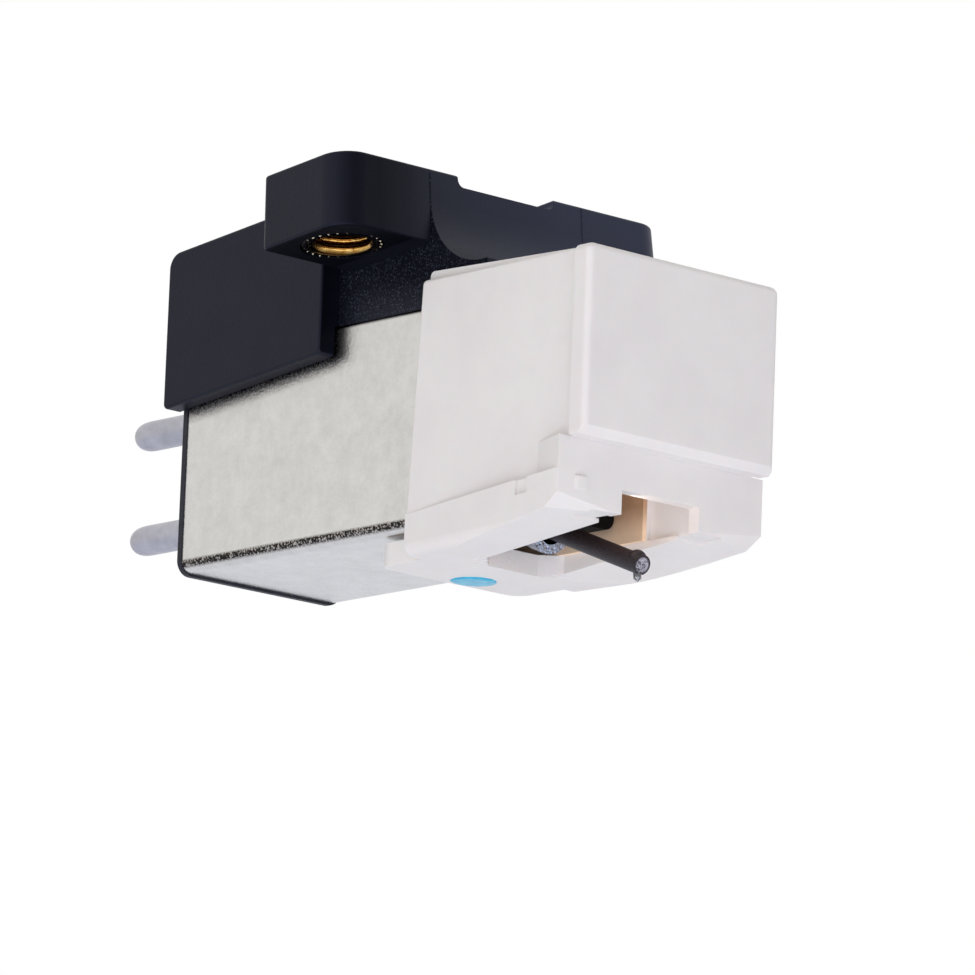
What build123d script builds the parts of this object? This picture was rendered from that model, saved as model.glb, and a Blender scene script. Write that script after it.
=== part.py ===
from build123d import *
from math import cos, radians, sin, tan
import os

os.makedirs("parts", exist_ok=True)

# Moving-magnet turntable cartridge with a plug-in stylus, in millimetres.
# The origin lies on the mounting plane, the top of the two ears, midway between the
# screw holes. +Z is up, the stylus points along -Y and the terminal pins along +Y.
# The can and the stylus hang nose-down, so they are drawn on tilted planes, where a
# place is given as its distance ahead of the hole line and its level square to the can.

# Bracket: ears, raised pads, neck with its cove, and the rear skirts
nose_down = 6.0
ear_span = 16.9
ear_end = 2.1
ear_ahead = 2.29
ear_behind = 2.23
ear_height = 2.97
ear_draft = 4.0
ear_front_corner = 1.15
ear_rear_corner = 0.25
ear_edge = 0.12
pad_rise = 0.45
bridge_span = 4.9
pad_fillet = 0.3
neck_inset = 0.14
cove_start = 1.3
cove_radius = 3.0
roof_drop = 5.2
roof_thickness = 0.45
roof_setback = 0.4
bracket_wall = 1.0
skirt_ahead = 2.52
skirt_overhang = 0.63
skirt_drop = 6.1
skirt_thickness = 0.74
skirt_top_corner = 0.65
skirt_low_corner = 0.2
skirt_edge = 0.12

# Threaded inserts
insert_radius = 1.6
insert_bore = 1.05
insert_chamfer = 0.25
insert_recess = 0.06

# Shield can, one folded sheet, and the terminal plate with its four pins
can_width = 8.08
can_height = 8.48
can_behind = 11.0
can_ahead = 10.7
can_sheet = 0.25
can_bend = 0.45
can_lip = 0.15
slot_start = 0.75
plate_thickness = 0.24
plate_margin = 0.1
plate_lip = 0.04
plate_corner = 0.6
block_depth = 2.0
pin_radius = 0.59
pin_length = 4.86
pin_nose = 0.85
pin_spread = 4.4
pin_rise = 4.17
pin_sink = 0.095
pin_tail = 0.4
pin_tail_radius = 0.3

# Cores and coils
core_thickness = 0.6
core_leg = 0.9
core_leg_pitch = 2.6
core_lift = 1.7
core_yoke = 0.9
core_reach = 3.0
core_tip = 0.7
core_tip_pitch = 1.1
jog_start = 0.4
jog_length = 1.8
jog_slip = 0.2
frame_ahead = -0.3
frame_thickness = 1.0
bobbin_wall = 0.16
bobbin_flange = 0.3
bobbin_lip = 0.05
winding_depth = 0.45

# Stylus holder: cheeks, front panel, top, chin and belly
cheek_wall = 0.42
cheek_rear = 2.87
cheek_lean = 0.45
cheek_rise = 0.89
cheek_edge = 0.12
panel_lip = 0.31
panel_rise = 2.26
panel_thickness = 0.8
panel_bevel = 0.3
panel_corner = 0.32
panel_rim = 0.25
top_rise = 1.24
top_fall = 0.3
top_inset = 0.25
top_rear = 3.05
top_corner = 0.2
chin_setback = 0.95
chin_flare = 0.63
chin_wall = 0.55
belly_depth = 1.07
belly_corner = 0.45
crease_rear_rise = 1.55
crease_front_rise = 2.1
tab_behind = 0.13
tab_inset = 0.94
tab_corner = 0.7
channel_inset = 1.84
channel_rear = 3.5
channel_corner = 0.7
notch_rise = 1.77
cavity_width = 0.2
mouth_width = 1.37
mouth_rise = 0.84
mouth_depth = 1.2
relief_start = 3.0
relief_slope = 5.5
keel_start = 5.6
keel_slope = 7.7
nose_rise = 0.56
nose_splay = 7.0
nose_pitch = 34.0
nose_length = 1.9
dimple_ahead = 9.28
dimple_size = 0.72
dimple_rise = 1.75
dimple_depth = 0.3
nub_size = 0.5
nub_height = 0.14
nub_inset = 1.1
nub_rise = 1.65
carrier_wall = 0.25
carrier_roof = 0.35

# Stylus: sleeve, damper, wire, cantilever, magnets, tip and paint dot
sleeve_wall = 0.2
sleeve_corner = 0.45
sleeve_ahead = 8.65
sleeve_rear = 1.2
sleeve_rise = 2.58
sleeve_depth = 0.25
damper_ahead = 7.2
damper_length = 3.5
damper_rise = 0.51
damper_corner = 0.45
collar_radius = 0.95
collar_ahead = 0.35
collar_length = 1.3
cantilever_radius = 0.38
cantilever_dip = 21.6
cantilever_ahead = 10.58
cantilever_tail = 2.75
pivot_ahead = 5.4
pivot_rise = 0.6
bead_radius = 0.36
bead_lift = 0.14
bead_back = 0.34
shank_radius = 0.15
shank_back = 0.3
shank_root = 0.25
shank_show = 0.06
tip_length = 0.16
tip_point = 0.02
magnet_radius = 0.24
magnet_length = 1.0
magnet_spread = 1.24
magnet_lift = 0.1
magnet_splay = 45.0
yoke_radius = 0.62
yoke_length = 0.95
yoke_grip = 0.3
anchor_length = 0.5
wire_radius = 0.08
dot_radius = 0.9
dot_ahead = 0.86
dot_side = 0.42
dot_thickness = 0.03

# Clearances: the sliding stylus, seated pieces, the can's nose, the cores, and the cantilever
slide_gap = 0.08
fit_gap = 0.02
skirt_gap = 0.06
roof_gap = 0.12
nose_gap = 0.2
tab_gap = 0.19
core_gap = 0.18
damper_gap = 0.12
swing_gap = 0.2
wire_gap = 0.12

# Tilted directions of the can
lean = radians(nose_down)
forward = Vector(0, -cos(lean), -sin(lean))
upward = Vector(0, -sin(lean), cos(lean))


def section(ahead):
    """Plane across the can: x to the right, y upward, facing forward."""
    return Plane(origin=forward * ahead, x_dir=(1, 0, 0), z_dir=forward)


def profile(side=0.0):
    """Plane along the can: x forward, y upward, facing the left."""
    return Plane(origin=(side, 0, 0), x_dir=forward, z_dir=(-1, 0, 0))


def deck(level):
    """Plane parallel to the can's bottom: x to the right, y to the rear, facing upward."""
    return Plane(origin=upward * level, x_dir=(1, 0, 0), z_dir=upward)


def tilted(ahead, drop):
    """Profile place of a point ahead of the hole line and below the mounting plane."""
    return (ahead * cos(lean) + drop * sin(lean), ahead * sin(lean) - drop * cos(lean))


def at_drop(ahead, drop):
    """Profile place at a distance along the can, on a level below the mounting plane."""
    return (ahead, ahead * tan(lean) - drop / cos(lean))


def finish(builder, name):
    """Label a finished piece and write it to its own file."""
    builder.part.label = name
    export_step(builder.part, f"parts/{name}.step")


# Levels square to the can, places along it and half widths that several pieces share
hole_pitch = ear_span - 2 * ear_end
can_top = -roof_drop
can_bottom = can_top - can_height
can_floor = can_bottom + can_sheet
can_side = can_width / 2
can_inside = can_side - can_sheet
neck_side = can_side - neck_inset
roof_top = can_top + roof_thickness
roof_reach = can_ahead - roof_setback
skirt_inside = can_side + skirt_gap
skirt_side = skirt_inside + skirt_thickness
skirt_rear = -can_behind - skirt_overhang
skirt_length = -skirt_ahead - skirt_rear
holder_inside = can_side + slide_gap
holder_floor = can_bottom - slide_gap
holder_top = can_top + top_rise
holder_ceiling = roof_top + roof_gap
cheek_side = holder_inside + cheek_wall
cheek_rear_low = cheek_rear - cheek_lean
cheek_top = can_top + cheek_rise
belly = can_bottom - belly_depth
chin_back = can_ahead + nose_gap
chin_front = chin_back + chin_wall
chin_side = cheek_side + chin_flare
panel_side = cheek_side + panel_lip
panel_ahead = chin_front + chin_setback
panel_back = panel_ahead - panel_thickness
panel_top = holder_top - top_fall
panel_bottom = can_bottom + panel_rise
channel_side = can_inside - channel_inset
carrier_side = channel_side + carrier_wall
sleeve_inside = channel_side - sleeve_wall
sleeve_top = can_bottom + sleeve_rise
sleeve_ceiling = sleeve_top - sleeve_wall
sleeve_low = can_bottom - sleeve_depth
pivot_level = sleeve_low + pivot_rise
cove_toe = tilted(ear_ahead + cove_radius, cove_start + cove_radius)

# Mounting bracket, moulded in one with its ears, neck, roof and skirts
ear_side = ear_span / 2
pad_side = ear_side - ear_height * tan(radians(ear_draft))
bridge_side = bridge_span / 2
cove_bend = cove_radius * cos(radians(45))
neck_end = -skirt_ahead - bracket_wall
pocket_front = ear_ahead - bracket_wall
pocket_rear = skirt_rear + bracket_wall
pocket_side = neck_side - bracket_wall
pocket_drop = pad_rise + bracket_wall

with BuildPart() as mounting_bracket:
    # Ears and the bridge between them, seen from the front
    with BuildSketch(Plane.XZ.offset(ear_ahead)):
        with BuildLine():
            Polyline(
                (-ear_side, -ear_height),
                (-pad_side, 0),
                (-bridge_side, 0),
                (-bridge_side, -pad_rise),
                (bridge_side, -pad_rise),
                (bridge_side, 0),
                (pad_side, 0),
                (ear_side, -ear_height),
                close=True,
            )
        make_face()
    extrude(amount=-(ear_ahead + ear_behind))
    upright_edges = mounting_bracket.edges().filter_by(
        lambda edge: abs(edge.center().Z + ear_height / 2) < ear_height / 10
        and abs(edge.center().X) > hole_pitch / 2
    )
    fillet(upright_edges.filter_by(lambda edge: edge.center().Y < 0), ear_front_corner)
    upright_edges = mounting_bracket.edges().filter_by(
        lambda edge: abs(edge.center().Z + ear_height / 2) < ear_height / 10
        and abs(edge.center().X) > hole_pitch / 2
    )
    fillet(upright_edges.filter_by(lambda edge: edge.center().Y > ear_behind / 2), ear_rear_corner)
    step_edges = mounting_bracket.edges().filter_by(Axis.Y).filter_by(
        lambda edge: abs(edge.center().Z + pad_rise) < fit_gap
    )
    fillet(step_edges, pad_fillet)
    brim_edges = mounting_bracket.edges().filter_by(
        lambda edge: abs(edge.center().Z) < fit_gap or abs(edge.center().Z + ear_height) < fit_gap
    )
    fillet(brim_edges, ear_edge)
    # Neck with its cove, and the roof over the can, seen from the side
    with BuildSketch(profile()):
        with BuildLine():
            Line(tilted(ear_ahead, pad_rise), tilted(ear_ahead, cove_start))
            ThreePointArc(
                tilted(ear_ahead, cove_start),
                tilted(ear_ahead + cove_radius - cove_bend, cove_start + cove_bend),
                cove_toe,
            )
            Polyline(
                cove_toe,
                (cove_toe[0], roof_top),
                (roof_reach, roof_top),
                (roof_reach, can_top),
                (neck_end, can_top),
                at_drop(neck_end, pad_rise),
                tilted(ear_ahead, pad_rise),
            )
        make_face()
    extrude(amount=neck_side, both=True)
    # Rear body with the skirts that hold the can
    with BuildSketch(profile()):
        with BuildLine():
            FilletPolyline(
                at_drop(skirt_rear, 0),
                at_drop(skirt_rear, skirt_drop),
                at_drop(-skirt_ahead, skirt_drop),
                at_drop(-skirt_ahead, 0),
                radius=(skirt_top_corner, skirt_low_corner, skirt_low_corner, skirt_low_corner),
                close=True,
            )
        make_face()
    extrude(amount=skirt_side, both=True)
    skirt_edges = mounting_bracket.edges().filter_by(
        lambda edge: abs(abs(edge.center().X) - skirt_side) < fit_gap
        and edge.center().dot(forward) < -skirt_ahead + fit_gap
    )
    fillet(skirt_edges, skirt_edge)
    # Room for the can between the skirts
    with BuildSketch(section(skirt_rear - bracket_wall)):
        with Locations((0, can_top)):
            Rectangle(2 * skirt_inside, can_height, align=(Align.CENTER, Align.MAX))
    extrude(amount=skirt_length + 2 * bracket_wall, mode=Mode.SUBTRACT)
    # Hollow over the coils
    with BuildSketch(profile()):
        with BuildLine():
            Polyline(
                (pocket_front, can_top - bracket_wall),
                at_drop(pocket_front, pocket_drop),
                at_drop(pocket_rear, pocket_drop),
                (pocket_rear, can_top - bracket_wall),
                close=True,
            )
        make_face()
    extrude(amount=pocket_side, both=True, mode=Mode.SUBTRACT)
    # Seats of the threaded inserts
    with GridLocations(hole_pitch, 0, 2, 1):
        Cylinder(insert_radius, 4 * ear_height, mode=Mode.SUBTRACT)
finish(mounting_bracket, "mounting_bracket")

# Brass inserts, pressed into the ears
for insert_name, insert_x in (
    ("left_threaded_insert", -hole_pitch / 2),
    ("right_threaded_insert", hole_pitch / 2),
):
    with BuildPart() as threaded_insert:
        with BuildSketch(Plane.XY.offset(-ear_height + insert_recess)):
            with Locations((insert_x, 0)):
                Circle(insert_radius)
                Circle(insert_bore, mode=Mode.SUBTRACT)
        extrude(amount=ear_height - 2 * insert_recess)
        mouths = threaded_insert.edges().filter_by(GeomType.CIRCLE).filter_by(
            lambda edge: edge.radius < (insert_bore + insert_radius) / 2
        )
        chamfer(mouths, insert_chamfer)
    finish(threaded_insert, insert_name)

# Shield can: two sides and the bottom folded from one sheet, slotted for the stylus
with BuildPart() as shield_can:
    with BuildSketch(section(-can_behind)):
        with BuildLine():
            FilletPolyline(
                (-can_inside, can_top),
                (-can_side, can_top),
                (-can_side, can_bottom),
                (can_side, can_bottom),
                (can_side, can_top),
                (can_inside, can_top),
                radius=(can_lip, can_bend, can_bend, can_lip),
            )
            FilletPolyline(
                (can_inside, can_top),
                (can_inside, can_floor),
                (-can_inside, can_floor),
                (-can_inside, can_top),
                radius=can_bend - can_sheet,
            )
        make_face()
    extrude(amount=can_behind + can_ahead)
    with BuildSketch(deck(can_bottom - can_sheet)):
        with Locations((0, -slot_start)):
            Rectangle(2 * (carrier_side + slide_gap), can_ahead, align=(Align.CENTER, Align.MAX))
    extrude(amount=3 * can_sheet, mode=Mode.SUBTRACT)
finish(shield_can, "shield_can")

# Terminal plate with the block that carries the pins inside the can
pin_level = (can_top + can_bottom) / 2 - pin_sink
pin_places = {
    "left_signal_pin": (-pin_spread / 2, pin_level + pin_rise / 2),
    "left_ground_pin": (-pin_spread / 2, pin_level - pin_rise / 2),
    "right_signal_pin": (pin_spread / 2, pin_level + pin_rise / 2),
    "right_ground_pin": (pin_spread / 2, pin_level - pin_rise / 2),
}
plate_rear = -can_behind - plate_thickness
plate_low = can_bottom - plate_margin
plate_side = can_side + plate_lip
block_side = can_inside - fit_gap
block_low = can_floor + fit_gap
block_top = can_top - fit_gap
block_front = -can_behind + block_depth

with BuildPart() as terminal_plate:
    with BuildSketch(section(plate_rear)):
        with BuildLine():
            FilletPolyline(
                (-plate_side, block_top),
                (-plate_side, plate_low),
                (plate_side, plate_low),
                (plate_side, block_top),
                radius=plate_corner,
            )
            Line((plate_side, block_top), (-plate_side, block_top))
        make_face()
    extrude(amount=plate_thickness)
    with BuildSketch(section(-can_behind)):
        with BuildLine():
            FilletPolyline(
                (-block_side, block_top),
                (-block_side, block_low),
                (block_side, block_low),
                (block_side, block_top),
                radius=can_bend,
            )
            Line((block_side, block_top), (-block_side, block_top))
        make_face()
    extrude(amount=block_depth)
    with BuildSketch(section(plate_rear)):
        with Locations(*pin_places.values()):
            Circle(pin_tail_radius)
    extrude(amount=plate_thickness + block_depth, mode=Mode.SUBTRACT)
finish(terminal_plate, "terminal_plate")

# Four pins with rounded noses, each with a thinner tail in the block
pin_end = plate_rear - pin_length
pin_root = block_front + pin_tail
for pin_name, (pin_x, pin_y) in pin_places.items():
    with BuildPart() as terminal_pin:
        with BuildSketch(profile(pin_x)):
            with BuildLine():
                Polyline(
                    (pin_root, pin_y),
                    (pin_root, pin_y + pin_tail_radius),
                    (plate_rear, pin_y + pin_tail_radius),
                    (plate_rear, pin_y + pin_radius),
                    (pin_end + pin_nose, pin_y + pin_radius),
                )
                Bezier(
                    (pin_end + pin_nose, pin_y + pin_radius),
                    (pin_end + pin_nose * 0.4, pin_y + pin_radius),
                    (pin_end, pin_y + pin_radius * 0.7),
                    (pin_end, pin_y),
                )
                Line((pin_end, pin_y), (pin_root, pin_y))
            make_face()
        revolve(axis=Axis(profile(pin_x).from_local_coords((0, pin_y)), forward))
    finish(terminal_pin, pin_name)

# The cantilever's line: a level for each distance ahead, and its own direction
dip = radians(cantilever_dip)
reach = forward * cos(dip) - upward * sin(dip)


def axis_level(ahead):
    """Level of the cantilever's axis at a distance ahead of the hole line."""
    return pivot_level - tan(dip) * (ahead - pivot_ahead)


def across_axis(ahead):
    """Plane square to the cantilever: x to the right, y upward, facing its tip."""
    place = profile().from_local_coords((ahead, axis_level(ahead)))
    return Plane(origin=place, x_dir=(1, 0, 0), z_dir=reach)


# Two U-shaped cores: an upper and a lower leg that jog down to the magnets
yoke_front = cantilever_tail + yoke_grip
yoke_rear = yoke_front - yoke_length
magnet_ahead = (cantilever_tail + yoke_rear) / 2
core_rear = pin_root + fit_gap
core_front = core_rear + core_yoke
low_leg = can_floor + core_lift
high_leg = low_leg + core_leg_pitch
low_tip = axis_level(magnet_ahead) - core_tip_pitch / 2
high_tip = axis_level(magnet_ahead) + core_tip_pitch / 2
half_leg = core_leg / 2
half_tip = core_tip / 2
jog_end = jog_start + jog_length
core_side = carrier_side + core_gap + core_thickness / 2
core_sides = {"left": -core_side, "right": core_side}

for side_name, core_x in core_sides.items():
    with BuildPart() as core:
        with BuildSketch(profile(core_x)):
            with BuildLine():
                Polyline(
                    (core_rear, high_leg + half_leg),
                    (jog_start, high_leg + half_leg),
                    (jog_end, high_tip + half_tip),
                    (core_reach, high_tip + half_tip),
                    (core_reach, high_tip - half_tip),
                    (jog_end - jog_slip, high_tip - half_tip),
                    (jog_start - jog_slip, high_leg - half_leg),
                    (core_front, high_leg - half_leg),
                    (core_front, low_leg + half_leg),
                    (jog_start, low_leg + half_leg),
                    (jog_end, low_tip + half_tip),
                    (core_reach, low_tip + half_tip),
                    (core_reach, low_tip - half_tip),
                    (jog_end - jog_slip, low_tip - half_tip),
                    (jog_start - jog_slip, low_leg - half_leg),
                    (core_rear, low_leg - half_leg),
                    close=True,
                )
            make_face()
        extrude(amount=core_thickness / 2, both=True)
    finish(core, f"{side_name}_core")

# Frame plate that holds the four legs in the can
window_wide = core_thickness + 2 * fit_gap
window_high = core_leg + 2 * fit_gap
leg_places = [(core_x, level) for core_x in core_sides.values() for level in (high_leg, low_leg)]
frame_rear = frame_ahead - frame_thickness

with BuildPart() as coil_frame:
    with BuildSketch(section(frame_rear)):
        with BuildLine():
            FilletPolyline(
                (-block_side, block_top),
                (-block_side, block_low),
                (block_side, block_low),
                (block_side, block_top),
                radius=can_bend,
            )
            Line((block_side, block_top), (-block_side, block_top))
        make_face()
        with Locations(*leg_places):
            Rectangle(window_wide, window_high, mode=Mode.SUBTRACT)
    extrude(amount=frame_thickness)
finish(coil_frame, "coil_frame")

# A bobbin and a winding on each leg
bobbin_rear = core_front + fit_gap
bobbin_front = frame_rear - fit_gap
tube_wide = window_wide + 2 * bobbin_wall
tube_high = window_high + 2 * bobbin_wall
coil_wide = tube_wide + 2 * winding_depth
coil_high = tube_high + 2 * winding_depth
winding_rear = bobbin_rear + bobbin_flange + fit_gap
winding_front = bobbin_front - bobbin_flange - fit_gap

for side_name, core_x in core_sides.items():
    for level_name, level in (("upper", high_leg), ("lower", low_leg)):
        with BuildPart() as bobbin:
            with BuildSketch(section(bobbin_rear)):
                with Locations((core_x, level)):
                    Rectangle(tube_wide, tube_high)
            extrude(amount=bobbin_front - bobbin_rear)
            with BuildSketch(section(bobbin_rear), section(bobbin_front - bobbin_flange)):
                with Locations((core_x, level)):
                    Rectangle(coil_wide + 2 * bobbin_lip, coil_high + 2 * bobbin_lip)
            extrude(amount=bobbin_flange)
            with BuildSketch(section(bobbin_rear)):
                with Locations((core_x, level)):
                    Rectangle(window_wide, window_high)
            extrude(amount=bobbin_front - bobbin_rear, mode=Mode.SUBTRACT)
        finish(bobbin, f"{side_name}_{level_name}_bobbin")

        with BuildPart() as winding:
            with BuildSketch(section(winding_rear)):
                with Locations((core_x, level)):
                    RectangleRounded(coil_wide, coil_high, winding_depth / 2)
                    Rectangle(
                        tube_wide + 2 * fit_gap, tube_high + 2 * fit_gap, mode=Mode.SUBTRACT
                    )
            extrude(amount=winding_front - winding_rear)
        finish(winding, f"{side_name}_{level_name}_winding")

# Stylus holder, one white moulding that slides over the front of the can
tab_side = cheek_side - tab_inset
tab_thickness = belly_depth - tab_gap
tab_end = cheek_rear_low + tab_corner
crease_rear = belly + crease_rear_rise
crease_front = belly + crease_front_rise
notch = belly + notch_rise
nub_side = chin_side - nub_inset

with BuildPart() as stylus_holder:
    # Cheeks, seen from the side
    with BuildSketch(profile()):
        with BuildLine():
            FilletPolyline(
                (cheek_rear_low, holder_floor),
                (cheek_rear, cheek_top),
                (panel_back, cheek_top),
                radius=top_corner,
            )
            Polyline(
                (panel_back, cheek_top),
                (panel_back, panel_bottom),
                (chin_front, panel_bottom),
                (chin_front, holder_floor),
                (cheek_rear_low, holder_floor),
            )
        make_face()
    extrude(amount=cheek_side, both=True)
    cheek_edges = stylus_holder.edges().filter_by(
        lambda edge: abs(abs(edge.center().X) - cheek_side) < fit_gap
        and (
            edge.center().dot(forward) < cheek_rear + top_corner
            or edge.center().dot(upward) > cheek_top - top_corner
        )
    )
    fillet(cheek_edges, cheek_edge)
    # Belly, flared toward the chin
    for belly_ahead, belly_side, crease in (
        (cheek_rear_low, cheek_side, crease_rear),
        (chin_front, chin_side, crease_front),
    ):
        with BuildSketch(section(belly_ahead)):
            with BuildLine():
                FilletPolyline(
                    (-belly_side, crease),
                    (-belly_side, belly),
                    (belly_side, belly),
                    (belly_side, crease),
                    radius=belly_corner,
                )
                Line((belly_side, crease), (-belly_side, crease))
            make_face()
    loft()
    # Chin corners under the front panel
    for corner_ahead, corner_side in (
        (dimple_ahead + dimple_size / 2, cheek_side),
        (chin_front, chin_side),
    ):
        with BuildSketch(section(corner_ahead)):
            with Locations((0, panel_bottom)):
                Rectangle(
                    2 * corner_side,
                    panel_bottom - crease_front + fit_gap,
                    align=(Align.CENTER, Align.MAX),
                )
    loft()
    # Inset top, falling toward the panel
    with BuildSketch(profile()):
        with BuildLine():
            FilletPolyline(
                (top_rear, holder_ceiling),
                (top_rear, holder_top),
                (panel_back, panel_top),
                radius=top_corner,
            )
            Polyline(
                (panel_back, panel_top),
                (panel_back, holder_ceiling),
                (top_rear, holder_ceiling),
            )
        make_face()
    extrude(amount=cheek_side - top_inset, both=True)
    # Front panel with a bevelled lower edge
    with BuildSketch(profile()):
        with BuildLine():
            Polyline(
                (panel_back, panel_top),
                (panel_ahead, panel_top),
                (panel_ahead, panel_bottom + panel_bevel),
                (panel_ahead - panel_bevel, panel_bottom),
                (panel_back, panel_bottom),
                close=True,
            )
        make_face()
    extrude(amount=panel_side, both=True)
    corner_edges = stylus_holder.edges().filter_by(
        lambda edge: abs(abs(edge.center().X) - panel_side) < fit_gap
        and abs(edge.center().dot(upward) - panel_top) < fit_gap
    )
    fillet(corner_edges, panel_corner)
    rim_edges = stylus_holder.edges().filter_by(
        lambda edge: abs(edge.center().dot(forward) - panel_ahead) < fit_gap
        and edge.center().dot(upward) > panel_bottom + panel_bevel + fit_gap
    )
    fillet(rim_edges, panel_rim)
    # Tab under the can
    with BuildSketch(deck(belly)):
        with BuildLine():
            FilletPolyline(
                (-tab_side, -tab_end),
                (-tab_side, tab_behind),
                (tab_side, tab_behind),
                (tab_side, -tab_end),
                radius=tab_corner,
            )
            Line((tab_side, -tab_end), (-tab_side, -tab_end))
        make_face()
    extrude(amount=tab_thickness)
    # Room for the can, open to the rear
    with BuildSketch(section(-tab_end)):
        with Locations((0, holder_floor)):
            Rectangle(
                2 * holder_inside, holder_ceiling - holder_floor, align=(Align.CENTER, Align.MIN)
            )
    extrude(amount=tab_end + chin_back, mode=Mode.SUBTRACT)
    # Notch in the top for the neck of the bracket
    with BuildSketch(section(-tab_end)):
        with Locations((0, holder_ceiling - roof_gap)):
            Rectangle(
                2 * (neck_side + slide_gap), 2 * roof_drop, align=(Align.CENTER, Align.MIN)
            )
    extrude(amount=tab_end + cove_toe[0] + slide_gap, mode=Mode.SUBTRACT)
    # Carrier that reaches into the can and holds the sleeve
    with BuildSketch(section(sleeve_rear)):
        with Locations((0, holder_floor - fit_gap)):
            Rectangle(
                2 * carrier_side,
                sleeve_top + carrier_roof - holder_floor + fit_gap,
                align=(Align.CENTER, Align.MIN),
            )
    extrude(amount=chin_back - sleeve_rear + fit_gap)
    # Tunnel of the sleeve
    with BuildSketch(section(sleeve_rear)):
        with BuildLine():
            FilletPolyline(
                (-channel_side, sleeve_low),
                (-channel_side, sleeve_top),
                (channel_side, sleeve_top),
                (channel_side, sleeve_low),
                radius=sleeve_corner,
            )
            Line((channel_side, sleeve_low), (-channel_side, sleeve_low))
        make_face()
    extrude(amount=sleeve_ahead - sleeve_rear, mode=Mode.SUBTRACT)
    # Channel under the cantilever, open to the front
    with BuildSketch(deck(belly - belly_corner)):
        with BuildLine():
            Polyline(
                (-channel_side, -channel_rear - channel_corner),
                (-channel_side + channel_corner, -channel_rear),
                (channel_side - channel_corner, -channel_rear),
                (channel_side, -channel_rear - channel_corner),
                (channel_side, -panel_ahead),
                (-channel_side, -panel_ahead),
                close=True,
            )
        make_face()
    extrude(amount=sleeve_low - belly + belly_corner, mode=Mode.SUBTRACT)
    with BuildSketch(section(sleeve_ahead)):
        with Locations((0, notch)):
            Rectangle(2 * channel_side, notch_rise, align=(Align.CENTER, Align.MAX))
    extrude(amount=panel_ahead - sleeve_ahead, mode=Mode.SUBTRACT)
    # Cavity behind the chin's thin front wall, and the wider mouth under that wall
    mouth = belly + mouth_rise
    with BuildSketch(section(sleeve_ahead)):
        with Locations((0, mouth)):
            Rectangle(
                2 * (channel_side + cavity_width),
                sleeve_top - mouth,
                align=(Align.CENTER, Align.MIN),
            )
    extrude(amount=chin_back - sleeve_ahead, mode=Mode.SUBTRACT)
    with BuildSketch(section(chin_front - mouth_depth)):
        with Locations((0, mouth)):
            Rectangle(
                2 * (channel_side + mouth_width),
                mouth_rise + belly_depth,
                align=(Align.CENTER, Align.MAX),
            )
    extrude(amount=panel_ahead - chin_front + mouth_depth, mode=Mode.SUBTRACT)
    # Underside of the belly, rising toward the front and a little hollow beside the channel
    for roof_ahead in (channel_rear + channel_corner / 2, panel_ahead):
        roof_inner = belly + tan(radians(relief_slope)) * (roof_ahead - relief_start)
        roof_edge = belly + tan(radians(keel_slope)) * (roof_ahead - keel_start)
        roof_outer = roof_edge + (roof_edge - roof_inner) * chin_side / (chin_side - channel_side)
        with BuildSketch(section(roof_ahead)):
            with BuildLine():
                Polyline(
                    (-2 * chin_side, roof_outer),
                    (-channel_side, roof_inner),
                    (channel_side, roof_inner),
                    (2 * chin_side, roof_outer),
                    (2 * chin_side, belly - belly_depth),
                    (-2 * chin_side, belly - belly_depth),
                    close=True,
                )
            make_face()
    loft(mode=Mode.SUBTRACT)
    # Two slanted facets under the chin, one on each side of the channel
    for nose_ahead in (panel_ahead, chin_front - nose_length):
        nose = belly + nose_rise + tan(radians(nose_pitch)) * (nose_ahead - chin_front)
        nose_outer = nose + tan(radians(nose_splay)) * 2 * chin_side
        with BuildSketch(section(nose_ahead)):
            with BuildLine():
                Polyline(
                    (-2 * chin_side, nose_outer),
                    (0, nose),
                    (2 * chin_side, nose_outer),
                    (2 * chin_side, nose - belly_depth),
                    (-2 * chin_side, nose - belly_depth),
                    close=True,
                )
            make_face()
    loft(mode=Mode.SUBTRACT)
    # A square dimple in each side and one square nub on the chin
    with BuildSketch(profile(-chin_side - dimple_depth), profile(chin_side - dimple_depth)):
        with Locations((dimple_ahead, belly + dimple_rise)):
            Rectangle(dimple_size, dimple_size)
    extrude(amount=-2 * dimple_depth, mode=Mode.SUBTRACT)
    with BuildSketch(section(chin_front - fit_gap)):
        with Locations((-nub_side, belly + nub_rise)):
            Rectangle(nub_size, nub_size)
    extrude(amount=nub_height + fit_gap)
finish(stylus_holder, "stylus_holder")

# Paint dot on the tab
with BuildPart() as paint_dot:
    with BuildSketch(deck(belly)):
        with Locations((dot_side, -dot_ahead)):
            Circle(dot_radius)
    extrude(amount=-dot_thickness)
finish(paint_dot, "paint_dot")

# Plated sleeve, open below
with BuildPart() as suspension_sleeve:
    with BuildSketch(section(sleeve_rear)):
        with BuildLine():
            FilletPolyline(
                (-channel_side, sleeve_low),
                (-channel_side, sleeve_top),
                (channel_side, sleeve_top),
                (channel_side, sleeve_low),
                radius=sleeve_corner,
            )
            Line((channel_side, sleeve_low), (sleeve_inside, sleeve_low))
            FilletPolyline(
                (sleeve_inside, sleeve_low),
                (sleeve_inside, sleeve_ceiling),
                (-sleeve_inside, sleeve_ceiling),
                (-sleeve_inside, sleeve_low),
                radius=sleeve_corner - sleeve_wall,
            )
            Line((-sleeve_inside, sleeve_low), (-channel_side, sleeve_low))
        make_face()
    extrude(amount=sleeve_ahead - sleeve_rear)
finish(suspension_sleeve, "suspension_sleeve")

# Rubber damper: a block in the sleeve with a collar round the cantilever
damper_rear = damper_ahead - damper_length
damper_side = sleeve_inside - damper_gap
damper_top = sleeve_ceiling - damper_gap
damper_low = sleeve_low + damper_rise
collar_rear = pivot_ahead + collar_ahead - collar_length
swing_radius = cantilever_radius + swing_gap

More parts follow.
